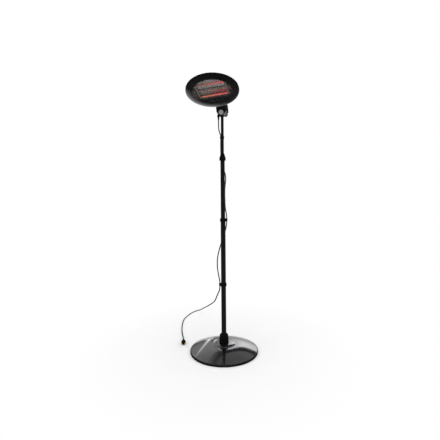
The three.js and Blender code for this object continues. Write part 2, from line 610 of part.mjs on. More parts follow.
function buildBracket() {
  const half = bracketWidth / 2;
  const rear = boxReach;
  const depth = rear - earFront;
  const midY = (rear + earFront) / 2;
  const boxTop = boxFloor + boxHeight;
  const outer = block([bracketWidth, depth, boxHeight], [0, midY, boxFloor + boxHeight / 2]);
  const inner = block([bracketWidth - 2 * bracketWall, depth - earThickness + 2, boxHeight - 2 * bracketWall],
    [0, midY + earThickness / 2 + 1, boxFloor + boxHeight / 2]);
  const skirts = [-1, 1].map((side) => block([bracketWall, depth, skirtDrop + 1],
    [side * (half - bracketWall / 2), midY, boxFloor - skirtDrop / 2 + 0.5]));
  const cheekShape = new THREE.Shape();
  cheekShape.moveTo(-cheekRadius, boxTop - 1);
  cheekShape.lineTo(cheekRadius * 1.5, boxTop - 1);
  cheekShape.lineTo(cheekRadius, tiltHeight);
  cheekShape.absarc(0, tiltHeight, cheekRadius, 0, Math.PI, false);
  const cheeks = [-1, 1].map((side) => {
    const innerFace = half - cheekWall;
    return side < 0 ? sidePlate(cheekShape, -half, -innerFace) : sidePlate(cheekShape, innerFace, half);
  });
  const lobeShape = new THREE.Shape();
  const lobeOuter = lockRadius + lockScrewRadius + lobeMargin;
  const lobeReach = leanReach + 0.16;
  lobeShape.moveTo(0, 0);
  lobeShape.lineTo(...polar(lobeOuter, lockAngle - lobeReach, 0).slice(0, 2));
  lobeShape.absarc(0, 0, lobeOuter, lockAngle - lobeReach, lockAngle + lobeReach, false);
  const lobe = uprightPlate(lobeShape, earFront, -earFace, 12);
  const body = join(cut(outer, inner), ...skirts, ...cheeks, lobe,
    earPlate(earRadius, earFront, -earFace), earPlate(rearEarRadius, earFace, earFace + earThickness));
  const pivotBore = rod(pivotRadius + slipGap, [0, earFront - 1, 0], [0, earFace + earThickness + 1, 0], 20);
  const tiltBore = rod(tiltBoltRadius + slipGap, [-half - 1, 0, tiltHeight], [half + 1, 0, tiltHeight], 20);
  const slot = slotCutter(earFront - 1, -earFace + 1);
  place(bracket, 'bracket', cut(body, pivotBore, tiltBore, slot), finish.mouldedBlack);

  const coverFront = rear + seatGap;
  const coverBack = coverFront + rearCoverThickness;
  const boxMiddle = boxFloor + boxHeight / 2;
  const screwSpots = [-1, 1].map((side) => [side * (half - coverScrewInset), boxMiddle]);
  const cover = block([bracketWidth, rearCoverThickness, boxHeight],
    [0, (coverFront + coverBack) / 2, boxMiddle]);
  const pad = block([bracketWidth - 2 * bracketWall - 2, rearCoverPad, boxHeight - 2 * bracketWall - 2],
    [0, coverFront + 0.5 - rearCoverPad / 2, boxMiddle]);
  const holes = screwSpots.map(([x, z]) => rod(coverScrewRadius + slipGap, [x, coverFront - rearCoverPad, z],
    [x, coverBack + 1, z], 10));
  place(bracket, 'bracket_cover', cut(join(cover, pad), ...holes), finish.mouldedBlack);
  const screws = screwSpots.map(([x, z]) => join(
    rod(coverScrewRadius, [x, coverFront - coverScrewReach, z], [x, coverBack + 1, z], 10),
    rod(coverScrewRadius * 1.9, [x, coverBack + seatGap, z],
      [x, coverBack + seatGap + coverScrewHead, z], 12)));
  placeEach(bracket, 'cover_screw', screws, finish.zinc);

  const blockBottom = boxFloor + bracketWall + seatGap;
  const terminals = block(terminalSize, [0, terminalSetBack, blockBottom + terminalSize[2] / 2]);
  place(bracket, 'terminal_block', terminals, finish.ceramic);

  const capBack = earFront - seatGap;
  const capFront = capBack - pivotCapHeight;
  const boltEnd = earFace + earThickness + pivotBoltEnd;
  const cap = rod(pivotCapRadius, [0, capBack, 0], [0, capFront + 1, 0], 24);
  const crownCap = rod(pivotCapRadius - 1.4, [0, capFront, 0], [0, capFront + 1, 0], 24, pivotCapRadius);
  const driverSlot = solid(new THREE.BoxGeometry(2 * pivotCapRadius - 8, 2 * slotDepth, slotWidth)
    .rotateY(-Math.PI / 5).translate(0, capFront, 0));
  const shank = rod(pivotRadius, [0, capBack - 1, 0], [0, boltEnd, 0], 20);
  place(bracket, 'pivot_bolt', join(cut(join(cap, crownCap), driverSlot), shank), finish.silver);
  const nutFront = earFace + earThickness + seatGap;
  const nut = cut(rod(pivotRadius * 1.9, [0, nutFront, 0], [0, nutFront + pivotNutHeight, 0], 6),
    rod(pivotRadius + slipGap, [0, nutFront - 1, 0], [0, nutFront + pivotNutHeight + 1, 0], 20));
  place(bracket, 'pivot_nut', nut, finish.zinc);

  const headStart = -half - seatGap;
  const tiltBolt = join(
    rod(tiltBoltRadius, [headStart - 1, 0, tiltHeight], [half + tiltBoltEnd, 0, tiltHeight], 20),
    rod(tiltBoltHeadRadius, [headStart - tiltBoltHeadHeight, 0, tiltHeight], [headStart, 0, tiltHeight], 24));
  place(bracket, 'tilt_bolt', tiltBolt, finish.satinBlack);
  const nutStart = half + seatGap;
  const tiltNut = cut(
    rod(tiltBoltHeadRadius, [nutStart, 0, tiltHeight], [nutStart + tiltNutHeight, 0, tiltHeight], 6),
    rod(tiltBoltRadius + slipGap, [half, 0, tiltHeight], [nutStart + tiltNutHeight + 1, 0, tiltHeight], 20));
  place(bracket, 'tilt_nut', tiltNut, finish.satinBlack);
}

// ---- Lean lock: a knob on a screw through the bracket's curved slot into the pole head's lug ----
function buildLeanLock() {
  const [x, z] = lockAt;
  const knobBack = earFront - seatGap;
  const knobFront = knobBack - leanKnobHeight;
  const knob = join(
    rod(leanKnobRadius * 0.62, [x, knobBack, z], [x, knobBack - leanKnobNeck, z], 20),
    rod(leanKnobRadius, [x, knobBack - leanKnobNeck + 1, z], [x, knobFront, z], 28),
    rod(lockScrewRadius, [x, knobBack - 1, z], [x, -barrelEnd + lugThickness, z], 16));
  const recess = rod(leanCapRadius + slipGap, [x, knobFront - 1, z], [x, knobFront + leanCapRecess, z], 28);
  place(poleHead, 'lean_knob', cut(knob, recess), finish.mouldedBlack);
  const capBack = knobFront + leanCapRecess - seatGap;
  place(poleHead, 'lean_knob_cap', rod(leanCapRadius, [x, capBack, z], [x, capBack - leanCapHeight, z], 28),
    finish.greyCap);
}

// ---- Heater head, drawn with its rim in the XY plane, its back towards +Z and the bracket at +Y ----
const head = new THREE.Group();
head.position.z = tiltHeight;
head.rotation.x = tiltAngle;
bracket.add(head);
const face = new THREE.Group();
face.position.set(0, -pivotBehindCentre, -pivotAboveRim);
head.add(face);

const domeShares = [[1, 0], [0.93, 0.12], [0.82, 0.34], [0.68, 0.6], [0.52, 0.81], [0.34, 0.945], [0, 1]];
const shellProfile = [[headRadius, 0], ...domeShares.map(([radius, rise]) => [radius * headRadius,
  rimHeight + rise * (headDepth - rimHeight)])];

function shellHeightAt(radius) {
  for (let i = 1; i < shellProfile.length; i += 1) {
    const [r0, z0] = shellProfile[i - 1];
    const [r1, z1] = shellProfile[i];
    if (radius <= r0 && radius >= r1 && r0 > r1) return z0 + ((r0 - radius) / (r0 - r1)) * (z1 - z0);
  }
  return 0;
}

const neckWidth = bracketWidth - 2 * cheekWall - 2 * seatGap;

function rimScrewBores(from, to) {
  return around(rimScrewCount, (angle) => rod(rimScrewRadius + slipGap, polar(from, angle, rimScrewHeight),
    polar(to, angle, rimScrewHeight), 10), Math.PI / 2);
}

function buildShell() {
  const inner = shellProfile.map(([r, z], i) => [Math.max(0, r - shellWall), i < 2 ? z : z - shellWall]);
  const skin = turned([...shellProfile, ...inner.reverse()], roundHead);
  const screwBores = neckScrewSpots.map(([x, y]) => rod(neckScrewRadius + slipGap,
    [x, y, headDepth / 2], [x, y, headDepth + neckRise], 10));
  place(face, 'rear_shell', cut(skin, ...screwBores, ...rimScrewBores(headRadius - 9, headRadius + 3)),
    finish.glossBlack);
}

// ---- Neck: the channel-shaped arm from the back of the shell to the tilt axis ----
function neckOutline() {
  const [endY, endZ] = [pivotBehindCentre, pivotAboveRim];
  const topEnd = endZ + neckEndRadius;
  const shape = new THREE.Shape();
  shape.moveTo(neckFront, headDepth / 4);
  shape.lineTo(neckFront, headDepth - 2);
  shape.lineTo(neckFront + neckRise, headDepth + neckRise);
  shape.lineTo(endY - neckEndRadius * 2.2, topEnd);
  shape.lineTo(endY, topEnd);
  shape.absarc(endY, endZ, neckEndRadius, Math.PI / 2, -Math.PI / 2, true);
  shape.lineTo(endY - neckEndRadius * 2, endZ - neckEndRadius * 1.2);
  shape.lineTo(endY - neckEndRadius * 5.5, headDepth / 4);
  return shape;
}

function buildNeck() {
  const [endY, endZ] = [pivotBehindCentre, pivotAboveRim];
  const half = neckWidth / 2;
  const arm = sidePlate(neckOutline(), -half, half, 12);
  const bed = turned([[0, -1], [headRadius + seatGap, -1],
    ...shellProfile.map(([r, z]) => [r + (r > 0 ? seatGap : 0), z + seatGap])], roundHead);
  const hollowStart = neckScrewSpots[0][1] + 10;
  const hollowEnd = endY - neckEndRadius;
  const hollow = solid(new THREE.BoxGeometry(neckWidth - 2 * neckWall, hollowEnd - hollowStart, headDepth)
    .translate(0, (hollowEnd + hollowStart) / 2, headDepth / 2 + neckRise - neckWall));
  const pivotBore = rod(tiltBoltRadius + slipGap, [-neckWidth, endY, endZ], [neckWidth, endY, endZ], 20);
  const tapped = neckScrewSpots.map(([x, y]) => rod(neckScrewRadius + slipGap,
    [x, y, headDepth / 2], [x, y, headDepth + neckRise / 2 + 1], 10));
  place(face, 'neck', cut(arm, bed, hollow, pivotBore, ...tapped), finish.mouldedBlack);

  const screws = neckScrewSpots.map(([x, y]) => {
    const under = shellHeightAt(Math.hypot(x, y) + 2 * neckScrewRadius) - shellWall - 2 * seatGap;
    return join(rod(neckScrewRadius, [x, y, under - 1], [x, y, headDepth + neckRise / 2], 10),
      rod(neckScrewRadius * 1.8, [x, y, under - neckScrewHead], [x, y, under], 12));
  });
  placeEach(face, 'neck_screw', screws, finish.zinc);
}

// ---- Bezel and guard ----
const bezelFace = -bezelBulge;
const guardFront = bezelFace + bezelWall + seatGap;
const guardBack = guardFront + guardThickness;

function buildFront() {
  const edge = headRadius;
  const mid = (edge + windowRadius) / 2;
  const spigot = edge - shellWall - slipGap;
  const spigotTop = rimHeight - 1;
  const outer = [[edge, -seatGap], [edge - 1.5, bezelFace * 0.35], [edge - 10, bezelFace * 0.68],
    [mid, bezelFace * 0.94], [windowRadius + 4, bezelFace], [windowRadius, bezelFace + 0.6]];
  const innerFace = bezelFace + bezelWall;
  const spigotInside = spigot - bezelSpigotWall;
  const inner = [[windowRadius, innerFace], [windowRadius + guardRingWidth + 1, innerFace],
    [mid, bezelFace * 0.94 + bezelWall],
    [edge - 11, bezelFace * 0.68 + bezelWall], [spigotInside, -seatGap - 1], [spigotInside, spigotTop],
    [spigot, spigotTop], [spigot, -seatGap]];
  const bezel = turned([...outer, ...inner], roundHead);
  place(face, 'front_bezel', cut(bezel, ...rimScrewBores(spigot - 9, spigot + 3)), finish.glossBlack);
  const headSeat = edge + seatGap;
  const screws = around(rimScrewCount, (angle) => join(
    rod(rimScrewRadius, polar(spigotInside, angle, rimScrewHeight),
      polar(headSeat + 1, angle, rimScrewHeight), 10),
    rod(rimScrewRadius * 1.8, polar(headSeat, angle, rimScrewHeight),
      polar(headSeat + rimScrewHead, angle, rimScrewHeight), 12)), Math.PI / 2);
  placeEach(face, 'bezel_screw', screws, finish.satinBlack);

  const frame = ring(windowRadius - 0.5, windowRadius + guardRingWidth, guardFront, guardBack, roundHead);
  const middle = (guardFront + guardBack) / 2;
  const layerShift = guardWire / 6;
  const wires = [];
  const count = Math.floor(windowRadius / guardPitch);
  for (let i = -count; i <= count; i += 1) {
    const offset = i * guardPitch;
    const chord = 2 * Math.sqrt(windowRadius ** 2 - offset ** 2) + guardThickness;
    wires.push(block([chord, guardWire, guardWire], [0, offset, middle - layerShift]));
    wires.push(block([guardWire, chord, guardWire], [offset, 0, middle + layerShift]));
  }
  place(face, 'wire_guard', join(frame, ...wires), finish.satinBlack);
}

// ---- Pan, reflector, tubes and their end holders ----
const panBottom = guardBack + seatGap;
const panTop = panBottom + panDepth;
const panFloor = panTop - panWall;
const holderAt = tubeLength / 2 - ceramicLength - tubeEnd;
const tubeRows = Array.from({ length: tubeCount }, (_, i) => (i - (tubeCount - 1) / 2) * tubePitch);

function buildPan() {
  const body = turned([[0, panTop], [panRadius - panBend, panTop], [panRadius, panTop - panBend],
    [panRadius, panBottom + panWall], [panRadius + panFlange, panBottom + panWall],
    [panRadius + panFlange, panBottom], [panRadius - panWall, panBottom],
    [panRadius - panWall, panTop - panBend - panWall / 3], [panRadius - panBend - panWall / 3, panFloor],
    [0, panFloor]], roundHead);
  const leadAt = holderAt + ceramicLength / 2;
  const leadHoles = [-1, 1].map((side) => rod(leadHoleRadius, [side * leadAt, tubePitch / 2, panFloor - 2],
    [side * leadAt, tubePitch / 2, panTop + 2], 12));
  place(face, 'reflector_pan', cut(body, ...leadHoles), finish.polished);
}

function buildReflector() {
  const troughHalf = troughWidth / 2;
  const top = panFloor - seatGap;
  const steps = 5;
  const length = 2 * (holderAt - troughClearance);
  const rowPoints = (inset) => tubeRows.flatMap((row) => Array.from({ length: 2 * steps + 1 }, (_, i) => {
    const t = i / steps - 1;
    return [row + (troughHalf - inset) * t, top - inset - troughDepth * t * t];
  }));
  const sheet = outline([...rowPoints(0), ...rowPoints(troughWall).reverse()]);
  place(face, 'reflector', sidePlate(sheet, -length / 2, length / 2), finish.polished);
}

function buildTubes() {
  const tubeRing = ring(tubeRadius - tubeWall, tubeRadius, -tubeLength / 2, tubeLength / 2, 16);
  const elementHalf = tubeLength / 2 - elementEnd;
  tubeRows.forEach((y, i) => {
    const tube = geometryOf(tubeRing).rotateY(Math.PI / 2).translate(0, y, tubeDepth);
    place(face, `quartz_tube_${i + 1}`, tube, finish.quartz);
    place(face, `heating_element_${i + 1}`, rod(elementRadius, [-elementHalf, y, tubeDepth],
      [elementHalf, y, tubeDepth], 12), finish.element);
  });

  const barHalf = tubePitch * (tubeCount - 1) / 2 + ceramicSize / 2 + ceramicMargin;
  const plateTop = panFloor - seatGap;
  const plateBottom = tubeDepth - ceramicSize / 2 - ceramicMargin;
  const barStart = holderAt + holderWall / 2 + seatGap;
  for (const [name, side] of [['left', -1], ['right', 1]]) {
    const bores = tubeRows.map((y) => rod(tubeRadius + slipGap, [side * (holderAt - 5), y, tubeDepth],
      [side * (barStart + ceramicLength + 5), y, tubeDepth], 16));
    const plate = block([holderWall, 2 * (barHalf + ceramicMargin), plateTop - plateBottom],
      [side * holderAt, 0, (plateTop + plateBottom) / 2]);
    const bar = block([ceramicLength, 2 * barHalf, ceramicSize],
      [side * (barStart + ceramicLength / 2), 0, tubeDepth]);
    place(face, `tube_holder_${name}`, cut(plate, ...bores), finish.polished);
    place(face, `ceramic_bar_${name}`, cut(bar, ...bores), finish.ceramic);
  }
}

// ---- Cord: from the gland down the pole, over the floor, to the plug ----
function cordStretch(points, steps) {
  const path = new THREE.CatmullRomCurve3(points.map((p) => new THREE.Vector3(...p)), false, 'centripetal');
  const section = new THREE.Shape();
  for (let i = 0; i < cordSides; i += 1) {
    const angle = (i * 2 * Math.PI) / cordSides;
    section[i ? 'lineTo' : 'moveTo'](cordRadius * Math.cos(angle), cordRadius * Math.sin(angle));
  }
  return solid(new THREE.ExtrudeGeometry(section, { steps, extrudePath: path, bevelEnabled: false }));
}

function buildCord() {
  const cosTurn = Math.cos(headTurn);
  const sinTurn = Math.sin(headTurn);
  const exitX = -glandOffset * cosTurn - glandSetBack * sinTurn;
  const exitY = -glandOffset * sinTurn + glandSetBack * cosTurn;
  const exitZ = pivotHeight + glandTop - glandLength - 2 * seatGap;
  const upperClipTop = upperClipMiddle + clipHeight / 2;
  const middleClipTop = middleClipMiddle + clipHeight / 2;
  const upperRoute = [[exitX, exitY, exitZ], [exitX, exitY, exitZ - 16], [-27.4, 1.3, 1682],
    [-26.9, 2.6, 1662], [-25, 5.4, 1644], [-21.6, 8.6, 1628], [-16.4, 11, 1615],
    [...upperEye, upperClipTop + 5],
    [...upperEye, upperClipTop + seatGap]];
  place(heater, 'cord_upper', cordStretch(upperRoute, 7), finish.rubber);

  const upperClipBottom = upperClipTop - clipHeight;
  const middleClipBottom = middleClipTop - clipHeight;
  const crossRoute = [[...upperEye, upperClipTop], [...upperEye, upperClipBottom - 3], [-11.6, 13, 1556],
    [-12, 17.5, 1530], [-12.5, 22.5, 1503], [-12, 28, 1474], [-10.5, 31.2, 1444], [-8, 31.2, 1415],
    [-2, 27.5, 1385],
    [8.5, 23, 1350], [17.5, 17, 1320], [22.5, 10, 1286], [20.5, 12, 1252], [16, 16, 1215], [14.5, 17, 1170],
    [15.3, 16.5, 1122], [16.5, 16.5, 1078], [20.5, 13, 1045], [26, 7, 1012],
    [...middleEye, middleClipTop + 8], [...middleEye, middleClipTop + seatGap]];
  place(heater, 'cord_cross', cordStretch(crossRoute, 21), finish.rubber);

  const lowerClipTop = lowerClipMiddle + clipHeight / 2;
  const lowerClipBottom = lowerClipTop - clipHeight;
  const straight = 6; // how far the cord runs straight past a clip
  const wrapRoute = [[...middleEye, middleClipBottom - straight + 2],
    [...middleEye, middleClipBottom - straight],
    [24, 11, 928], [18.5, 18, 900], [10, 23, 870], [0, 25.5, 842], [-10, 23.5, 814], [-19, 18, 785],
    [-30, 11, 750], [-40, 7, 708], [-45, 4, 660], [-43, 2, 610], [-36.5, 1, 565], [-29.5, 1, 530],
    [...lowerEye, lowerClipTop + straight], [...lowerEye, lowerClipTop + straight - 2]];
  const floorRoute = [[...lowerEye, lowerClipBottom - straight + 2],
    [...lowerEye, lowerClipBottom - straight],
    [-31, 4, 452], [-39, 16, 428], [-49, 36, 401], [-60, 66, 366], [-71, 125, 330], [-90, 250, 275],
    [-125, 450, 190], [-163, 650, 106], [-197, 815, 37], [-222, 860, 12], [-256, 852, 4.4], [-282, 820, 4.4],
    [-306, 780, 4.4], [-334, 710, 4.4], [-353, 650, 4.4], [-360, 590, 4.4], [-361, 515, 4.4],
    [-355, 415, 4.4],
    [-346, 340, 4.4], [-336, 280, 5], [-329, 245, 9.5], plugEnd.entry, plugEnd.inside];
  const inClip = ([x, y], top, bottom) => rod(cordRadius, [x, y, top], [x, y, bottom], cordSides);
  const lower = join(inClip(middleEye, middleClipTop, middleClipBottom - straight),
    cordStretch(wrapRoute, 13), inClip(lowerEye, lowerClipTop + straight, lowerClipBottom - straight),
    cordStretch(floorRoute, 42));
  place(heater, 'cord_lower', lower, finish.rubber);
}

// ---- Plug: lies on the floor at the end of the cord, pins forward ----
const plugHeading = new THREE.Vector2(0.1, -0.995).normalize();
const plugNose = new THREE.Vector3(-312, 110, plugRadius);
function alongPlug(distance) {
  return [plugNose.x - plugHeading.x * distance, plugNose.y - plugHeading.y * distance, plugNose.z];
}
const plugEnd = {
  entry: alongPlug(plugLength + plugTail + 12),
  inside: alongPlug(plugLength + plugTail + seatGap),
};

function buildPlug() {
  const outlinePoints = [[0, 0], [plugRadius - 1, 0], [plugRadius, 1.5], [plugRadius, plugLength * 0.5],
    [plugRadius * 0.72, plugLength], [cordRadius + 2.6, plugLength + 5],
    [cordRadius + 0.8, plugLength + plugTail],
    [0, plugLength + plugTail]];
  const heading = new THREE.Vector3(-plugHeading.x, -plugHeading.y, 0);
  const turn = new THREE.Quaternion().setFromUnitVectors(new THREE.Vector3(0, 0, 1), heading);
  const pinSpots = [-1, 1].map((side) => (side * pinSpacing) / 2);
  const sockets = pinSpots.map((x) => rod(pinRadius + slipGap, [x, 0, -1], [x, 0, pinDepth + slipGap], 12));
  const bridgeSpace = block([pinSpacing, pinBridge + 2 * slipGap, pinDepth + 1],
    [0, 0, (pinDepth + slipGap - 1) / 2]);
  const body = geometryOf(cut(turned(outlinePoints, 20), ...sockets, bridgeSpace));
  place(heater, 'plug_body', body.applyQuaternion(turn).translate(...plugNose.toArray()), finish.rubber);
  const bridge = block([pinSpacing, pinBridge, pinBridge], [0, 0, pinDepth - 2]);
  const pins = pinSpots.map((x) => rod(pinRadius, [x, 0, -pinLength], [x, 0, pinDepth], 12));
  place(heater, 'plug_pins', geometryOf(join(bridge, ...pins)).applyQuaternion(turn)
    .translate(...plugNose.toArray()), finish.brass);
}

buildBase();
buildFoot();
buildPole();
buildHeightLock();
buildInnerPole();
buildClips();
buildPoleHead();
buildBracket();
buildLeanLock();
buildShell();
buildNeck();
buildFront();
buildPan();
buildReflector();
buildTubes();
buildCord();
buildPlug();

export default heater;
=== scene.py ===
import json
import math

import bmesh
import bpy
from mathutils import Matrix, Vector


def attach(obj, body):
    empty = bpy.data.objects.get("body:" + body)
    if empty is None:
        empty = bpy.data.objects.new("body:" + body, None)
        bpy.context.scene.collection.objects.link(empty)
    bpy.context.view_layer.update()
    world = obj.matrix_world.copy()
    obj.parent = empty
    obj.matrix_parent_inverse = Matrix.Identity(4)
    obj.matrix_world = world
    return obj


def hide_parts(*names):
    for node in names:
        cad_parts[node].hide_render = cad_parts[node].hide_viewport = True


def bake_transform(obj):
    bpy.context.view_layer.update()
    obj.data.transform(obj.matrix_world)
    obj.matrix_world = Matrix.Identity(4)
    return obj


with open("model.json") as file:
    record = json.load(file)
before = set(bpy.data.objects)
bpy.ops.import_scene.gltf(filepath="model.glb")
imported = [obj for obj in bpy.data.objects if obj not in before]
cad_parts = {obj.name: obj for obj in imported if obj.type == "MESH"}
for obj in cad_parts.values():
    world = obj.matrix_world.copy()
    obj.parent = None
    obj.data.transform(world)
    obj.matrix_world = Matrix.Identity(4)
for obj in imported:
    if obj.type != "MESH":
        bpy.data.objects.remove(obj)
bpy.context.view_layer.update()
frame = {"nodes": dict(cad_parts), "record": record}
print("frame loaded")

mm = 0.001
scene = bpy.context.scene
scene.view_settings.view_transform = "Standard"

# camera, level and as high as the photograph shows it, in metres
cameraValues = {
    "place": (0.0, -3.0, 1.353),
    "focal": 403.6,  # in pixels of the 440 pixel frame
    "frame": 440,
    "poleColumn": 222.6,
    "horizonRow": 169.0,
    "roll": 0.47,
}


def makeCamera(values):
    data = bpy.data.cameras.new("viewer")
    data.sensor_fit = "HORIZONTAL"
    data.sensor_width = 36.0
    data.lens = values["focal"] / values["frame"] * data.sensor_width
    middle = values["frame"] / 2
    data.shift_x = -(values["poleColumn"] - middle) / values["frame"]
    data.shift_y = (values["horizonRow"] - middle) / values["frame"]
    data.clip_end = 60  # metres
    camera = bpy.data.objects.new("viewer", data)
    camera.location = values["place"]
    camera.rotation_euler = (math.pi / 2, math.radians(values["roll"]), 0)
    scene.collection.objects.link(camera)
    scene.camera = camera


makeCamera(cameraValues)

# where the turned parts of the heater stand, in millimetres and degrees
stand = {
    "pivot": 1770.8,
    "headTurn": -12.5,
    "lean": -6.6,
    "tiltHeight": 90,
    "tilt": -25.8,
    "behind": 230,
    "above": 79,
}


def turnAbout(axis, degrees):
    return Matrix.Rotation(math.radians(degrees), 4, axis)


poleHeadPlace = Matrix.Translation((0, 0, stand["pivot"] * mm)) @ turnAbout("Z", stand["headTurn"])
bracketPlace = poleHeadPlace @ turnAbout("Y", stand["lean"])
tiltPlace = bracketPlace @ Matrix.Translation((0, 0, stand["tiltHeight"] * mm))
headPlace = tiltPlace @ turnAbout("X", stand["tilt"])
facePlace = headPlace @ Matrix.Translation((0, -stand["behind"] * mm, -stand["above"] * mm))
still = Matrix.Identity(4)


# shader sums written as plain expressions
class Wire:
    def __init__(self, owner, socket):
        self.owner = owner
        self.socket = socket

    def sum(self, operation, first, second=None):
        values = {0: first} if second is None else {0: first, 1: second}
        return self.owner.node("ShaderNodeMath", {"operation": operation}, values)

    def __add__(self, other):
        return self.sum("ADD", self, other)

    def __radd__(self, other):
        return self.sum("ADD", other, self)

    def __sub__(self, other):
        return self.sum("SUBTRACT", self, other)

    def __rsub__(self, other):
        return self.sum("SUBTRACT", other, self)

    def __mul__(self, other):
        return self.sum("MULTIPLY", self, other)

    def __rmul__(self, other):
        return self.sum("MULTIPLY", other, self)

    def __pow__(self, other):
        return self.sum("POWER", self, other)

    def over(self, low, high):
        values = {0: self, 1: low, 2: high, 3: 0.0, 4: 1.0}
        return self.owner.node("ShaderNodeMapRange", {"clamp": True}, values)


class Shading:
    def __init__(self, tree, coordinates):
        self.tree = tree
        self.place = self.node("ShaderNodeTexCoord", {}, {}, coordinates)

    def node(self, kind, settings, values, out=0):
        made = self.tree.nodes.new(kind)
        for key, value in settings.items():
            setattr(made, key, value)
        for key, value in values.items():
            self.feed(made.inputs[key], value)
        return Wire(self, made.outputs[out])

    def feed(self, socket, value):
        if isinstance(value, Wire):
            self.tree.links.new(value.socket, socket)
        else:
            socket.default_value = value


class Finish(Shading):
    def __init__(self, name):
        self.material = bpy.data.materials.new(name)
        self.material.use_nodes = True
        super().__init__(self.material.node_tree, "Object")
        self.shader = self.tree.nodes["Principled BSDF"]

    def set(self, **values):
        for key, value in values.items():
            self.feed(self.shader.inputs[key.replace("_", " ")], value)

    def onFace(self, column):  # distance across the head's face, 0 to the right and 1 downwards
        axis = facePlace.to_3x3().col[column]
        values = {0: self.place, 1: axis[:]}
        along = self.node("ShaderNodeVectorMath", {"operation": "DOT_PRODUCT"}, values, "Value")
        return along - facePlace.translation.dot(axis)

    def mix(self, share, first, second):
        made = self.tree.nodes.new("ShaderNodeMix")
        made.data_type = "RGBA"
        self.feed(made.inputs[0], share)
        self.feed(made.inputs[6], first)
        self.feed(made.inputs[7], second)
        return Wire(self, made.outputs[2])

    def noise(self, scale, detail=3.0, stretch=None, roughness=0.5):
        place = self.place
        if stretch:
            place = self.node("ShaderNodeMapping", {}, {"Vector": place, "Scale": stretch})
        values = {"Vector": place, "Scale": scale, "Detail": detail, "Roughness": roughness}
        return self.node("ShaderNodeTexNoise", {}, values)

    def bump(self, height, strength):
        values = {"Height": height, "Strength": strength, "Distance": 0.0004}
        return self.node("ShaderNodeBump", {}, values)


def colour(red, green, blue):
    return (red, green, blue, 1.0)


# finishes
finishes = {}


def surfaceFinish(name, values):
    finish = Finish(name)
    cloud = finish.noise(values["cloudScale"], 4.0)
    grain = finish.noise(values["grainScale"], 2.0)
    scratch = finish.noise(values["scratchScale"], 2.0, values["scratchStretch"])
    scratches = scratch.over(0.66, 0.78) * finish.noise(9.0).over(0.42, 0.7)
    dust = finish.noise(values["dustScale"], 6.0, roughness=0.7).over(0.52, 0.8) * values["dust"]
    tone = finish.mix(cloud.over(0.3, 0.7), values["dark"], values["light"])
    worn = finish.mix(scratches * values["wear"], tone, values["wornColour"])
    dusty = finish.mix(dust, worn, values["dustColour"])
    # painted shade: the lower half of the head's face is painted darker
    if values.get("soot"):
        down = finish.onFace(1)
        dusty = finish.mix(down.over(-0.02, 0.08), dusty, values["soot"])
        # painted highlight: a pale band along the top of the window
        dusty = finish.mix(down.over(-0.09, -0.115), dusty, values["bright"])
    # painted reflection: the lower left of the head's black, most at the rolled rim, is painted light grey as a
    # sheen, and the same mask gives it a clear coat
    if values.get("film"):
        across, down = finish.onFace(0), finish.onFace(1)
        edge = ((across * across + down * down) ** 0.5).over(0.145, 0.184)
        film = (down * 0.72 - across * 0.7).over(0.05, 0.17) * (edge * 0.8 + 0.2)
        dusty = finish.mix(film * (cloud.over(0.2, 0.8) * 0.2 + 0.75), dusty, values["film"])
        finish.set(Coat_Weight=film * 0.8, Coat_Roughness=0.1)
    low, high = values["roughness"]
    rough = low + cloud.over(0.25, 0.75) * (high - low) + scratches * 0.12 + dust * 0.5
    bump = finish.bump(grain + scratches * -0.35, values["bump"])
    finish.set(Base_Color=dusty, Roughness=rough, Metallic=values["metal"], Normal=bump)
    if values.get("coat"):
        finish.set(Coat_Weight=values["coat"], Coat_Roughness=values["coatRoughness"])
    if values.get("specular") is not None:
        finish.set(Specular_IOR_Level=values["specular"])
    finishes[name] = finish.material


plain = {
    "cloudScale": 7.0, "grainScale": 900.0, "scratchScale": 60.0, "scratchStretch": (1, 1, 0.08),
    "dustScale": 26.0, "dust": 0.05, "dustColour": colour(0.16, 0.155, 0.15), "wear": 0.25,
    "wornColour": colour(0.08, 0.08, 0.085), "metal": 0.0, "bump": 0.1,
}

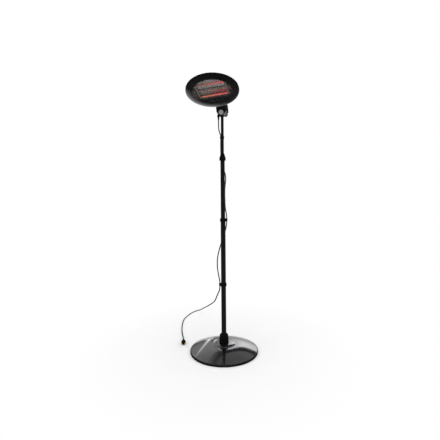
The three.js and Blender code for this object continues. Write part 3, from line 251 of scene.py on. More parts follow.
finishValues = {
    "gloss_black": {
        "dark": colour(0.004, 0.004, 0.005), "light": colour(0.007, 0.007, 0.009), "roughness": (0.06, 0.13),
        "specular": 0.5, "bump": 0.03, "dust": 0.04, "scratchStretch": (1, 0.1, 1),
    },
    "head_black": {
        "dark": colour(0.0025, 0.0025, 0.003), "light": colour(0.0045, 0.0045, 0.005),
        "roughness": (0.14, 0.22), "specular": 0.04, "bump": 0.03, "dust": 0.02,
        # the light grey of a painted reflection on the lower left of the rim
        "scratchStretch": (1, 0.1, 1), "film": colour(0.36, 0.36, 0.38),
    },
    "satin_black": {
        "dark": colour(0.003, 0.003, 0.0035), "light": colour(0.006, 0.006, 0.0065), "roughness": (0.28, 0.4),
        "specular": 0.07, "bump": 0.12, "dust": 0.02,
    },
    "moulded_black": {
        "dark": colour(0.0035, 0.0035, 0.0035), "light": colour(0.007, 0.007, 0.0075),
        "roughness": (0.4, 0.54), "grainScale": 1400.0, "specular": 0.0, "coat": 0.03,
        "coatRoughness": 0.42, "bump": 0.3, "dust": 0.02,
    },
    "cast_black": {
        "dark": colour(0.005, 0.005, 0.005), "light": colour(0.009, 0.009, 0.0095), "roughness": (0.38, 0.5),
        "grainScale": 700.0, "specular": 0.0, "coat": 0.025, "coatRoughness": 0.4, "bump": 0.35,
        "dust": 0.02, "wear": 0.15,
    },
    "cast_iron": {
        "dark": colour(0.035, 0.035, 0.036), "light": colour(0.07, 0.068, 0.066), "roughness": (0.55, 0.75),
        "grainScale": 320.0, "bump": 0.6, "metal": 0.7, "dust": 0.2, "wornColour": colour(0.16, 0.1, 0.06),
    },
    "rubber": {
        "dark": colour(0.005, 0.005, 0.005), "light": colour(0.010, 0.010, 0.010), "roughness": (0.48, 0.64),
        "grainScale": 1200.0, "specular": 0.0, "coat": 0.05, "coatRoughness": 0.5, "bump": 0.2, "dust": 0.05,
    },
    "zinc": {
        "dark": colour(0.36, 0.37, 0.38), "light": colour(0.5, 0.5, 0.49), "roughness": (0.25, 0.42),
        "metal": 1.0, "bump": 0.15, "wornColour": colour(0.6, 0.58, 0.52), "grainScale": 600.0,
    },
    "silver": {
        "dark": colour(0.26, 0.26, 0.27), "light": colour(0.36, 0.36, 0.37), "roughness": (0.3, 0.42),
        "metal": 0.65, "bump": 0.12, "wornColour": colour(0.7, 0.7, 0.7), "grainScale": 900.0,
    },
    "grey_cap": {
        "dark": colour(0.07, 0.07, 0.072), "light": colour(0.13, 0.13, 0.135), "roughness": (0.42, 0.55),
        "bump": 0.2, "wornColour": colour(0.34, 0.34, 0.34), "grainScale": 1200.0,
    },
    "polished": {
        "dark": colour(0.09, 0.08, 0.075), "light": colour(0.17, 0.15, 0.14), "roughness": (0.2, 0.34),
        "metal": 1.0, "bump": 0.1, "wornColour": colour(0.42, 0.38, 0.34), "grainScale": 240.0, "dust": 0.1,
    },
    "ceramic": {
        "dark": colour(0.12, 0.10, 0.085), "light": colour(0.2, 0.17, 0.145), "roughness": (0.5, 0.66),
        "bump": 0.25, "wornColour": colour(0.4, 0.34, 0.28), "grainScale": 500.0,
    },
    "guard_steel": {
        "dark": colour(0.05, 0.045, 0.04), "light": colour(0.36, 0.34, 0.33), "roughness": (0.2, 0.36),
        "cloudScale": 60.0,
        "metal": 0.9, "bump": 0.1, "wornColour": colour(0.5, 0.4, 0.34), "grainScale": 700.0,
        # painted shade low on the guard and a painted highlight along its top
        "soot": colour(0.045, 0.045, 0.05), "bright": colour(0.9, 0.86, 0.84),
    },
    "brass": {
        "dark": colour(0.45, 0.29, 0.06), "light": colour(0.58, 0.4, 0.12), "roughness": (0.2, 0.34),
        "metal": 1.0, "bump": 0.1, "wornColour": colour(0.36, 0.22, 0.08),
    },
}
for finishName, finishValue in finishValues.items():
    surfaceFinish(finishName, {**plain, **finishValue})

glowValues = {
    1: {"left": colour(0.16, 0.03, 0.02), "right": colour(0.7, 0.08, 0.10), "wire": 1.2, "glass": 0.4},
    2: {"left": colour(0.05, 0.02, 0.015), "right": colour(0.16, 0.05, 0.04), "wire": 0.6, "glass": 0.1},
    3: {"left": colour(0.7, 0.17, 0.06), "right": colour(0.8, 0.06, 0.08), "wire": 1.5, "glass": 0.42},
}


def glowFinishes(number, values):
    def heated(finish):
        along = finish.onFace(0)
        return along.over(-0.07, 0.07), 1.0 - along.sum("ABSOLUTE", along).over(0.086, 0.097)

    wire = Finish(f"glowing_wire_{number}")
    side, hot = heated(wire)
    heat = wire.noise(30.0, 3.0).over(0.3, 0.7)
    wire.set(Base_Color=wire.mix(heat, colour(0.25, 0.03, 0.01), colour(0.5, 0.09, 0.03)))
    wire.set(Roughness=0.45 + heat * 0.2, Metallic=0.4)
    light = wire.mix(side, values["left"], values["right"])
    wire.set(Emission_Color=wire.mix(hot, colour(0, 0, 0), light))
    wire.shader.inputs["Emission Strength"].default_value = values["wire"]
    finishes[f"element_{number}"] = wire.material

    glass = Finish(f"ruby_quartz_{number}")
    side, hot = heated(glass)
    cloud = glass.noise(24.0, 4.0).over(0.3, 0.7)
    ripple = glass.noise(220.0, 2.0, (0.1, 1, 1))
    bump = glass.bump(ripple, 0.08)
    glass.set(Base_Color=glass.mix(cloud, colour(0.5, 0.28, 0.24), colour(0.7, 0.42, 0.36)))
    glass.set(Roughness=0.06 + cloud * 0.1, Alpha=0.34 + cloud * 0.16, Normal=bump)
    light = glass.mix(side, values["left"], values["right"])
    glass.set(Emission_Color=glass.mix(hot, colour(0, 0, 0), light))
    glass.shader.inputs["Emission Strength"].default_value = values["glass"]
    glass.material.surface_render_method = "BLENDED"
    finishes[f"quartz_{number}"] = glass.material


# colours of the reflector down the head's face, at its left and its right, from the top in metres: heat tint with
# painted reflections of the glowing tubes, painted highlight lines and painted shade at the bottom
reflectorValues = {
    "left": [
        (-0.13, colour(0.20, 0.12, 0.10)), (-0.112, colour(0.12, 0.03, 0.02)), (-0.056, colour(0.13, 0.035, 0.025)),
        (-0.04, colour(0.42, 0.38, 0.36)), (-0.022, colour(0.05, 0.04, 0.045)), (0.0, colour(0.16, 0.17, 0.16)),
        (0.035, colour(0.2, 0.19, 0.18)), (0.048, colour(0.36, 0.12, 0.07)), (0.07, colour(0.26, 0.06, 0.04)),
        (0.084, colour(0.035, 0.035, 0.04)), (0.13, colour(0.03, 0.03, 0.035)),
    ],
    "right": [
        (-0.13, colour(0.2, 0.12, 0.10)), (-0.112, colour(0.16, 0.05, 0.04)), (-0.085, colour(0.40, 0.09, 0.11)),
        (-0.05, colour(0.46, 0.08, 0.11)), (-0.038, colour(0.5, 0.42, 0.42)), (-0.022, colour(0.10, 0.10, 0.10)),
        (-0.005, colour(0.15, 0.19, 0.15)), (0.012, colour(0.22, 0.22, 0.18)), (0.024, colour(0.52, 0.05, 0.07)),
        (0.066, colour(0.56, 0.08, 0.09)), (0.082, colour(0.05, 0.045, 0.045)), (0.13, colour(0.03, 0.03, 0.035)),
    ],
    "roughness": (0.2, 0.36), "bump": 0.12,
}


def reflectorFinish(values):
    finish = Finish("heat tinted reflector")
    cloud = finish.noise(14.0, 4.0).over(0.3, 0.7)
    grain = finish.noise(240.0, 2.0)
    low, high = values["left"][0][0], values["left"][-1][0]
    down = (finish.onFace(1) + (cloud - 0.5) * 0.008).over(low, high)

    def bands(tints):
        ramp = finish.tree.nodes.new("ShaderNodeValToRGB")
        ramp.color_ramp.elements[0].color = (*tints[0][1][:3], 1)
        ramp.color_ramp.elements[1].color = (*tints[-1][1][:3], 1)
        for place, tint in tints[1:-1]:
            ramp.color_ramp.elements.new((place - low) / (high - low)).color = (*tint[:3], 1)
        finish.feed(ramp.inputs[0], down)
        return Wire(finish, ramp.outputs[0])

    # the bands are partly heat tint and mostly painted light: red painted reflections of the glowing tubes, pale
    # painted highlight lines and painted shade at the bottom, differing left to right as the painted glow does
    tint = finish.mix(finish.onFace(0).over(-0.05, 0.06), bands(values["left"]), bands(values["right"]))
    soot = finish.mix(cloud * 0.3, tint, colour(0.06, 0.045, 0.04))
    smooth, rough = values["roughness"]
    finish.set(Base_Color=soot, Roughness=smooth + cloud * (rough - smooth), Metallic=1.0)
    finish.set(Normal=finish.bump(grain, values["bump"]))
    finishes["tinted_reflector"] = finish.material


reflectorFinish(reflectorValues)
for glowNumber, glowValue in glowValues.items():
    glowFinishes(glowNumber, glowValue)
print("finishes made")

# making pieces
nodeSlots = {row["node"]: row["material_slot"] for row in frame["record"]["subparts"]}
nodeBodies = {node: body for body, nodes in frame["record"]["behaviour"]["bodies"].items() for node in nodes}
shaped = set()  # nodes that have their piece


def objectFrom(name, vertices, faces, place=still):
    mesh = bpy.data.meshes.new(name)
    mesh.from_pydata([place @ Vector(v) for v in vertices], [], faces)
    return objectOf(name, mesh)


def objectOf(name, mesh):
    made = bpy.data.objects.new(name.title().replace(" ", ""), mesh)
    scene.collection.objects.link(made)
    return made


def dress(mesh, finishName, sharp):
    mesh.materials.clear()
    mesh.materials.append(finishes[finishName])
    mesh.polygons.foreach_set("use_smooth", [True] * len(mesh.polygons))
    mesh.set_sharp_from_angle(angle=math.radians(sharp))


def finishPiece(piece, node, finishName=None, bevel=0.0, sharp=32.0):
    dress(piece.data, finishName or nodeSlots[node], sharp)
    if bevel:
        rounding = piece.modifiers.new("rounded edges", "BEVEL")
        rounding.width = bevel
        rounding.segments = 2
        rounding.limit_method = "ANGLE"
        rounding.angle_limit = math.radians(sharp)
        rounding.use_clamp_overlap = True
        rounding.harden_normals = True
    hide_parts(node)
    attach(piece, nodeBodies[node])
    shaped.add(node)


# a profile of (radius, height) turned about Z: a ring closed on itself, or a body that ends on the axis
def turnedMesh(name, profile, segments, place=still, swell=None):
    vertices = []
    rings = []
    for radius, height in profile:
        if radius < 1e-6:
            rings.append([len(vertices)])
            vertices.append((0, 0, height * mm))
            continue
        start = len(vertices)
        for i in range(segments):
            angle = 2 * math.pi * i / segments
            reach = radius * (swell(angle, height) if swell else 1) * mm
            vertices.append((reach * math.cos(angle), reach * math.sin(angle), height * mm))
        rings.append(list(range(start, start + segments)))
    faces = []
    closed = profile[0][0] > 1e-6
    count = len(rings)
    for k in range(count if closed else count - 1):
        low, high = rings[k], rings[(k + 1) % count]
        for i in range(segments):
            j = (i + 1) % segments
            if len(low) == 1 and len(high) == 1:
                continue
            if len(low) == 1:
                faces.append((low[0], high[j], high[i]))
            elif len(high) == 1:
                faces.append((low[i], low[j], high[0]))
            else:
                faces.append((low[i], low[j], high[j], high[i]))
    made = objectFrom(name, vertices, faces, place)
    facesOut(made.data)
    return made


def facesOut(mesh):
    work = bmesh.new()
    work.from_mesh(mesh)
    bmesh.ops.recalc_face_normals(work, faces=work.faces)
    if work.calc_volume(signed=True) < 0:
        bmesh.ops.reverse_faces(work, faces=work.faces)
    work.to_mesh(mesh)
    work.free()


def between(before, here, there, after, t):
    bend = 2 * before - 5 * here + 4 * there - after
    turn = 3 * here - before - 3 * there + after
    return 0.5 * (2 * here + (there - before) * t + bend * t * t + turn * t ** 3)


def splined(points, steps=6):
    count = len(points)
    result = []
    for k in range(count - 1):
        before = points[max(k - 1, 0)]
        after = points[min(k + 2, count - 1)]
        around = list(zip(before, points[k], points[k + 1], after))
        result += [tuple(between(*four, i / steps) for four in around) for i in range(steps)]
    return result + [points[-1]]


def copyOf(node, name):
    mesh = frame["nodes"][node].data.copy()
    work = bmesh.new()
    work.from_mesh(mesh)
    bmesh.ops.remove_doubles(work, verts=work.verts, dist=2e-6)
    bmesh.ops.dissolve_limit(work, angle_limit=math.radians(0.6), verts=work.verts, edges=work.edges)
    work.to_mesh(mesh)
    work.free()
    return objectOf(name, mesh)


# power cord, in metres: the solids' route, further out beside the lock nut and shorter at the far bend
cordRoutes = {
    "diameter": 0.008,
    "upper": [
        (-0.02744, 0.00096, 1.7162), (-0.02744, 0.00096, 1.7002), (-0.0274, 0.0013, 1.682),
        (-0.0269, 0.0026, 1.662), (-0.025, 0.0054, 1.644), (-0.0216, 0.0086, 1.628), (-0.0164, 0.011, 1.615),
        (-0.0116, 0.0116, 1.6028), (-0.0116, 0.0116, 1.5981),
    ],
    "cross": [
        (-0.0116, 0.0116, 1.5978), (-0.0116, 0.0116, 1.5728), (-0.0118, 0.0135, 1.564),
        (-0.0125, 0.0215, 1.548), (-0.0125, 0.0255, 1.53), (-0.0125, 0.0275, 1.503), (-0.012, 0.028, 1.474),
        (-0.0105, 0.0312, 1.444), (-0.008, 0.0312, 1.415), (-0.002, 0.0275, 1.385),
        (0.0085, 0.023, 1.35), (0.0175, 0.017, 1.32), (0.0225, 0.01, 1.286),
        (0.0205, 0.012, 1.252), (0.016, 0.016, 1.215), (0.0145, 0.017, 1.17), (0.0153, 0.0165, 1.122),
        (0.0165, 0.0165, 1.078), (0.0205, 0.013, 1.045), (0.026, 0.007, 1.012), (0.0269, 0.004, 0.9935),
        (0.0269, 0.004, 0.9858),
    ],
    "lower": [
        (0.0269, 0.004, 0.9855), (0.0269, 0.004, 0.9575), (0.024, 0.011, 0.928), (0.0185, 0.018, 0.9),
        (0.01, 0.023, 0.87), (0.0, 0.0255, 0.842), (-0.01, 0.0235, 0.814), (-0.019, 0.018, 0.785),
        (-0.03, 0.011, 0.75), (-0.04, 0.007, 0.708), (-0.045, 0.004, 0.66), (-0.043, 0.002, 0.61),
        (-0.0365, 0.001, 0.565), (-0.0295, 0.001, 0.53), (-0.027, 0.001, 0.5119), (-0.027, 0.001, 0.4779),
        (-0.031, 0.004, 0.452), (-0.039, 0.016, 0.428), (-0.049, 0.036, 0.401), (-0.06, 0.066, 0.366),
        (-0.071, 0.125, 0.33), (-0.09, 0.25, 0.275), (-0.125, 0.45, 0.19), (-0.163, 0.65, 0.106),
        (-0.197, 0.815, 0.037), (-0.222, 0.853, 0.012), (-0.256, 0.846, 0.0047), (-0.282, 0.818, 0.0046),
        (-0.306, 0.78, 0.0046), (-0.334, 0.71, 0.0046), (-0.353, 0.65, 0.0046), (-0.36, 0.59, 0.0046),
        (-0.361, 0.515, 0.0046), (-0.355, 0.415, 0.0046), (-0.346, 0.34, 0.0046), (-0.336, 0.28, 0.005),
        (-0.329, 0.245, 0.0095), (-0.3196, 0.1857, 0.017), (-0.3184, 0.174, 0.017),
    ],
}


def cordLine(points, step=0.005):
    places = [Vector(p) for p in points]
    knots = [places[0] * 2 - places[1]] + places + [places[-1] * 2 - places[-2]]
    line = []
    for k in range(1, len(knots) - 2):
        a, b, c, d = knots[k - 1:k + 3]
        first, middle, last = (max((q - p).length, 1e-6) ** 0.5 for p, q in ((a, b), (b, c), (c, d)))
        leave = ((b - a) / first - (c - a) / (first + middle) + (c - b) / middle) * middle
        arrive = ((c - b) / middle - (d - b) / (middle + last) + (d - c) / last) * middle
        steps = max(2, round((c - b).length / step))
        for i in range(steps):
            t = i / steps
            line.append(
                b * (2 * t ** 3 - 3 * t ** 2 + 1) + leave * (t ** 3 - 2 * t ** 2 + t)
                + c * (3 * t ** 2 - 2 * t ** 3) + arrive * (t ** 3 - t ** 2)
            )
    return line + [places[-1]]


def sweptMesh(name, line, radius, sides=14):
    along = [(line[min(i + 1, len(line) - 1)] - line[max(i - 1, 0)]).normalized() for i in range(len(line))]
    across = along[0].orthogonal().normalized()
    vertices, faces = [], []
    for place, way in zip(line, along):
        across = (across - way * across.dot(way)).normalized()
        third = way.cross(across)
        for i in range(sides):
            angle = 2 * math.pi * i / sides
            vertices.append(place + (across * math.cos(angle) + third * math.sin(angle)) * radius)
    for k in range(len(line) - 1):
        for i in range(sides):
            j = (i + 1) % sides
            faces.append((k * sides + i, k * sides + j, (k + 1) * sides + j, (k + 1) * sides + i))
    faces.append(tuple(reversed(range(sides))))
    faces.append(tuple(range((len(line) - 1) * sides, len(line) * sides)))
    made = objectFrom(name, vertices, faces)
    facesOut(made.data)
    return made


def lineLength(line):
    return sum((q - p).length for p, q in zip(line, line[1:]))


def cordPiece(name, node, points):
    line = cordLine(points)
    piece = sweptMesh(name, line, cordRoutes["diameter"] / 2)
    dress(piece.data, "rubber", 50)
    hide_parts(node)
    shaped.add(node)
    print(name, "is", round(lineLength(line), 3), "m long")
    return piece, line


upperCord, upperLine = cordPiece("Cord to the head", "cord_upper", cordRoutes["upper"])
crossCord, crossLine = cordPiece("Cord along the pole", "cord_cross", cordRoutes["cross"])
lowerCord, lowerLine = cordPiece("Cord to the plug", "cord_lower", cordRoutes["lower"])

plugValues = {
    "nose": (-0.312, 0.110, 0.017), "heading": (0.1, -0.995, 0.0), "radius": 17, "length": 34, "tail": 30,
    "ribs": 6,
}


def makePlug(values):
    heading = Vector(values["heading"]).normalized()
    turn = Vector((0, 0, 1)).rotation_difference(-heading).to_matrix().to_4x4()
    place = Matrix.Translation(values["nose"]) @ turn
    radius, length, tail = values["radius"], values["length"], values["tail"]
    side = [(radius - 3.4, 0), (radius - 1.2, 0.5), (radius - 0.2, 1.8), (radius, 4), (radius, length * 0.45),
            (radius - 0.8, length * 0.6), (radius * 0.74, length * 0.9), (radius * 0.56, length + 1),
            (7.4, length + 4)]
    shape = [(0, 0), ((radius - 3.4) / 2, 0)] + splined(side, 4)
    ribs = values["ribs"]
    pitch = (tail - 6) / ribs
    for i in range(ribs):
        foot = length + 5 + i * pitch
        size = 7.2 - 2.0 * i / ribs
        shape += [(size, foot), (size, foot + pitch * 0.55), (size - 1.1, foot + pitch * 0.62),
                  (size - 1.1, foot + pitch * 0.95)]
    shape += [(5.0, length + tail - 0.6), (4.4, length + tail), (0, length + tail)]

    def grip(angle, height):
        inside = max(0.0, 1 - abs(height - length * 0.32) / (length * 0.2))
        return 1 - 0.03 * inside * (0.5 + 0.5 * math.cos(angle * 24))

    body = turnedMesh("Plug body", shape, 96, place, grip)
    finishPiece(body, "plug_body", sharp=40)
    pins = copyOf("plug_pins", "Plug pins")
    finishPiece(pins, "plug_pins", bevel=0.0007, sharp=40)
    return body, pins


plugBody, plugPins = makePlug(plugValues)

glandValues = {
    "place": (-0.027, -0.005, 0), "ribs": 5, "pitch": 3.5, "bottom": -53.4, "radius": 5.3, "growth": 0.28,
}


def makeGland(values):
    shape = [(0, -54.3), (4.6, -54.3), (5.2, -53.8)]
    for i in range(values["ribs"]):
        foot = values["bottom"] + i * values["pitch"]
        size = values["radius"] + i * values["growth"]
        shape += [(size, foot), (size, foot + 2.1), (size - 0.9, foot + 2.5), (size - 0.9, foot + 3.1)]
    shape += [(6.6, -35.6), (6.2, -35.2), (6.2, -34.6), (8.0, -34.2), (8.2, -33.8), (8.2, -28.7), (7.9, -28.3),
              (0, -28.3)]
    piece = turnedMesh("Cord gland", shape, 48, poleHeadPlace @ Matrix.Translation(values["place"]))
    finishPiece(piece, "cord_gland", sharp=40)
    return piece


gland = makeGland(glandValues)

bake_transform(upperCord)
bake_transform(crossCord)
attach(lowerCord, "root")
lineLength(upperLine)
lineLength(crossLine)
lineLength(lowerLine)
print("cord made")

# base
baseValues = {
    "radius": 250, "trimHeight": 14, "trimWall": 2.8, "trimLip": 10, "rimHeight": 17, "discRadius": 82,
    "coverTop": 64, "domeHeight": 42, "domeCurve": 1.55, "discHeight": 5, "rimRound": 6, "bore": 19, "wall": 2,
    "sides": 160,
}


def makeBase(values):
    radius, wall, bore = values["radius"], values["wall"], values["bore"]
    disc, rimHeight, coverTop = values["discRadius"], values["rimHeight"], values["coverTop"]
    rim = radius - values["trimWall"] - 0.3
    bottom = values["trimWall"] + 0.3
    foot = coverTop - values["discHeight"]
    domeEdge = rim - values["rimRound"]
    crown = []
    steps = 26
    for i in range(steps + 1):
        t = i / steps
        rise = values["domeHeight"] * (1 - (1 - t) ** values["domeCurve"])
        crown.append((domeEdge - t * (domeEdge - disc - 10), rimHeight + rise))
    edge = splined([(rim, rimHeight - 8), (rim - 0.6, rimHeight - 4.6), (rim - 2.6, rimHeight - 1.4),
                    (domeEdge, rimHeight)], 4)
    step = [(disc + 6, foot + 0.3), (disc + 2, foot + 1.6), (disc - 0.4, coverTop - 1.4), (disc - 3, coverTop)]
    outer = [(rim, bottom)] + edge[:-1] + crown + splined(step, 4) + [(bore, coverTop)]
    inner = [(r - wall * 0.6, z - wall) for r, z in crown[2:]]
    inner += [(disc - 5, coverTop - wall), (bore, coverTop - wall)]
    shape = outer + list(reversed(inner)) + [(rim - wall, rimHeight - 8), (rim - wall, bottom)]
    finishPiece(turnedMesh("Base cover", shape, values["sides"]), "base_cover", sharp=50)
    lip = radius - values["trimLip"]
    height, trimWall = values["trimHeight"], values["trimWall"]
    trim = [(lip, 0), (radius - 1.6, 0), (radius - 0.5, 0.4), (radius, 1.5), (radius, height * 0.42),
            (radius - 0.5, height * 0.46), (radius - 0.5, height * 0.54), (radius, height * 0.58),
            (radius, height - 1.4), (radius - 0.4, height - 0.4), (radius - 1.3, height),
            (radius - trimWall, height), (radius - trimWall, trimWall), (lip, trimWall)]
    finishPiece(turnedMesh("Edge trim", trim, values["sides"]), "edge_trim", sharp=50)
    finishPiece(copyOf("base_weight", "Base weight"), "base_weight", bevel=0.0008)
    top = coverTop + 0.3
    collar = [(33.5, 0), (36, 0), (36, 2.2), (35.5, 3.8), (34.6, 4.3), (33.6, 22), (32.9, 37.6), (32.3, 50.4),
              (31.6, 54.6), (30.2, 58.6), (27.6, 62.7), (24.6, 66.1), (22, 68.6), (20.8, 69.8), (19.4, 70),
              (18.3, 69.7), (18.3, 59), (28, 50.4)]
    collar = [(r, top + z) for r, z in collar]
    finishPiece(turnedMesh("Base collar", collar, 96), "base_collar", sharp=40)


makeBase(baseValues)
print("base made")

# pole
poleValues = {"radius": 18, "upperRadius": 16.2, "innerRadius": 10.7, "wall": 1.5, "sides": 72}
tubeRows = {
    "lower_pole": ("Lower pole", "radius", 18.6, 484.6),
    "middle_pole": ("Middle pole", "radius", 505.2, 964.2),
    "upper_pole": ("Upper pole", "upperRadius", 984.8, 1434.8),
    "inner_pole": ("Inner pole", "innerRadius", 1199.8, 1759.8),
}


def makePole(values):
    for node, (name, size, bottom, top) in tubeRows.items():
        outer = values[size]
        inner = outer - values["wall"]
        edge = 0.3
        shape = [(inner, bottom), (outer - edge, bottom), (outer, bottom + edge), (outer, top - edge),
                 (outer - edge, top), (inner, top)]
        finishPiece(turnedMesh(name, shape, values["sides"]), node, sharp=30)


jointValues = {"radius": 20, "waist": 19.3, "height": 20, "spigot": 45, "wall": 3}
jointRows = {
    "pole_joint_lower": ("Lower pole joint", 484.9, 16.2, 16.2),
    "pole_joint_upper": ("Upper pole joint", 964.5, 16.2, 14.4),
}


def makePoleJoints(values):
    radius, waist, spigot = values["radius"], values["waist"], values["spigot"]
    for node, (name, bottom, below, above) in jointRows.items():
        bore = min(below, above) - values["wall"]
        top = bottom + values["height"]
        foot, head = bottom - spigot, top + spigot
        shape = [(bore, foot), (below - 1, foot), (below, foot + 2), (below, bottom), (radius - 1, bottom),
                 (radius - 0.3, bottom + 0.5), (radius, bottom + 1.4), (radius, bottom + 7), (waist, bottom + 7.8),
                 (waist, bottom + 12.2), (radius, bottom + 13), (radius, top - 1.4), (radius - 0.3, top - 0.5),
                 (radius - 1, top), (above, top), (above, head - 2), (above - 1, head), (bore, head)]
        finishPiece(turnedMesh(name, shape, 80), node, sharp=40)


makePole(poleValues)
makePoleJoints(jointValues)

lockValues = {"radius": 23.5, "bottom": 1414.8, "ribs": 18, "ribDepth": 0.05}


def makeLock(values):
    bottom, radius = values["bottom"], values["radius"]
    lip = [(radius - 1.6, bottom), (radius - 0.6, bottom + 0.4), (radius, bottom + 1.6), (radius, bottom + 3.2),
           (radius - 0.5, bottom + 4.2)]
    bell = [(radius, bottom + 5.2), (radius, bottom + 20.8), (radius - 0.5, bottom + 23),
            (radius - 2.2, bottom + 28), (radius - 5.4, bottom + 36.6), (radius - 7.2, bottom + 43), (radius - 8.6, bottom + 47.4),
            (radius - 10.2, bottom + 51), (12.8, bottom + 53.2), (11.8, bottom + 54)]
    outer = lip + splined(bell, 5)
    inner = [(11, bottom + 54), (11, bottom + 42.6), (13.3, bottom + 42.6), (15.7, bottom + 23.6),
             (19.4, bottom + 23.6), (19.4, bottom)]

    def ribbed(angle, height):
        inside = min(1.0, max(0.0, (height - bottom - 5.2) / 2), max(0.0, (bottom + 24 - height) / 3))
        wave = 0.5 - 0.5 * math.cos(angle * values["ribs"])
        return 1 - values["ribDepth"] * inside * wave ** 6

    finishPiece(turnedMesh("Lock nut", outer + inner, 216, still, ribbed), "lock_nut", sharp=44)


makeLock(lockValues)
print("pole made")

# heater head
headValues = {
    "radius": 185, "wall": 2.4, "rimHeight": 6, "depth": 74, "bulge": 12, "window": 136, "guardWidth": 12,
    "sleeveRadius": 182.3, "sleeveWall": 4, "sleeveHeight": 5,
    "panRadius": 147, "panBottom": -6.2, "panDepth": 34, "panWall": 1.5, "panFlange": 17, "sides": 144,
    "tubePitch": 62, "tubeDepth": 11, "tubeRadius": 5.5, "tubeWall": 1.1, "tubeHalf": 111,
    "troughWidth": 56, "troughDepth": 16, "troughHalf": 94, "troughWall": 1.2,
}


def tubePlace(values, number):
    aside = (number - 2) * values["tubePitch"] * mm
    return facePlace @ Matrix.Translation((0, aside, values["tubeDepth"] * mm)) @ turnAbout("Y", 90)


tubePlaces = {number: tubePlace(headValues, number) for number in (1, 2, 3)}


def makeShell(values):
    radius, wall = values["radius"], values["wall"]
    rim, depth = values["rimHeight"], values["depth"]
    shares = [(1, 0), (0.93, 0.12), (0.82, 0.34), (0.68, 0.6), (0.52, 0.81), (0.34, 0.945), (0.15, 0.99), (0, 1)]
    dome = splined([(r * radius, rim + z * (depth - rim)) for r, z in shares], 6)
    outer = [(radius - 0.5, 0), (radius, 0.5)] + dome
    inner = [(max(0, r - wall), z - wall * min(1, (radius - r) / 12)) for r, z in dome]
    shape = [(0, depth - wall)] + list(reversed(inner))[1:] + [(radius - wall, 0)] + outer
    piece = turnedMesh("Rear shell", shape, values["sides"], facePlace)
    finishPiece(piece, "rear_shell", "head_black", sharp=40)


def makeBezel(values):
    edge, window, bulge = values["radius"], values["window"], values["bulge"]
    sleeve, height = values["sleeveRadius"], values["sleeveHeight"]
    seat = sleeve - values["sleeveWall"]
    front = [(edge, -0.3), (edge - 1.6, -4.4), (edge - 6, -6.6), (edge - 11, -8.4), (edge - 24.5, -11.3),
             (window + 12, -bulge), (window + 4, -bulge), (window + 1, -bulge + 0.1), (window, -bulge + 1)]
    front = splined(front, 5)
    inner = [(window, -9.8), (window + 13, -9.8), (edge - 24.5, -9.1), (edge - 11, -6), (seat, -1.3),
             (seat, height), (sleeve, height), (sleeve, -0.3)]
    piece = turnedMesh("Front bezel", front + inner, values["sides"], facePlace)
    finishPiece(piece, "front_bezel", "head_black", sharp=40)


def makePan(values):
    radius, bottom, wall = values["panRadius"], values["panBottom"], values["panWall"]
    top = bottom + values["panDepth"]
    flange = radius + values["panFlange"]
    bend = [(radius - 7, top), (radius - 3.4, top - 0.6), (radius - 0.8, top - 3), (radius, top - 7)]
    bend = splined(bend, 3)
    foot = [(radius, bottom + wall), (flange - 0.4, bottom + wall), (flange, bottom + wall - 0.4),
            (flange, bottom), (radius - wall, bottom)]
    inside = [(r - wall, z - wall) for r, z in reversed(bend)]
    piece = turnedMesh("Reflector pan", [(0, top)] + bend + foot + inside + [(0, top - wall)], 96, facePlace)
    finishPiece(piece, "reflector_pan", "tinted_reflector", sharp=34)


def makeReflector(values):
    top = values["panBottom"] + values["panDepth"] - values["panWall"] - 0.3
    half, depth, wall = values["troughWidth"] / 2, values["troughDepth"], values["troughWall"]
    steps = 14

    def rowPoints(inset):
        points = []
        for row in (-1, 0, 1):
            for i in range(2 * steps + 1):
                t = i / steps - 1
                points.append((row * values["tubePitch"] + (half - inset) * t, top - inset - depth * t * t))
        return points

    section = rowPoints(0) + list(reversed(rowPoints(wall)))
    count = len(section)
    stations = [values["troughHalf"] * (k / 8 - 1) for k in range(17)]
    vertices = [(x * mm, y * mm, z * mm) for x in stations for y, z in section]
    faces = []
    for k in range(len(stations) - 1):
        for i in range(count):
            j = (i + 1) % count
            faces.append((k * count + i, k * count + j, (k + 1) * count + j, (k + 1) * count + i))
    rows = count // 2
    for k in (0, len(stations) - 1):
        for i in range(rows - 1):
            a, b, c, d = i, i + 1, count - 2 - i, count - 1 - i
            faces.append(tuple(k * count + v for v in ((a, b, c, d) if k else (d, c, b, a))))
    piece = objectFrom("Reflector", vertices, faces, facePlace)
    facesOut(piece.data)
    finishPiece(piece, "reflector", "tinted_reflector", sharp=50)


def makeTubes(values):
    radius, half, edge = values["tubeRadius"], values["tubeHalf"], 0.3
    bore = radius - values["tubeWall"]
    for number in (1, 2, 3):
        shape = [(bore, -half + edge), (bore + edge, -half), (radius - edge, -half), (radius, -half + edge)]
        shape += [(radius, -half + step * half / 8) for step in range(1, 16)]
        shape += [(radius, half - edge), (radius - edge, half), (bore + edge, half), (bore, half - edge)]
        tube = turnedMesh(f"Quartz tube {number}", shape, 32, tubePlaces[number])
        finishPiece(tube, f"quartz_tube_{number}", f"quartz_{number}", sharp=60)


makeShell(headValues)
makeBezel(headValues)
makePan(headValues)
makeReflector(headValues)
makeTubes(headValues)
print("head made")


def plainMesh(piece, modifier):
    bpy.context.view_layer.update()
    shape = bpy.data.meshes.new_from_object(piece.evaluated_get(bpy.context.evaluated_depsgraph_get()))
    piece.modifiers.remove(modifier)
    piece.data = shape


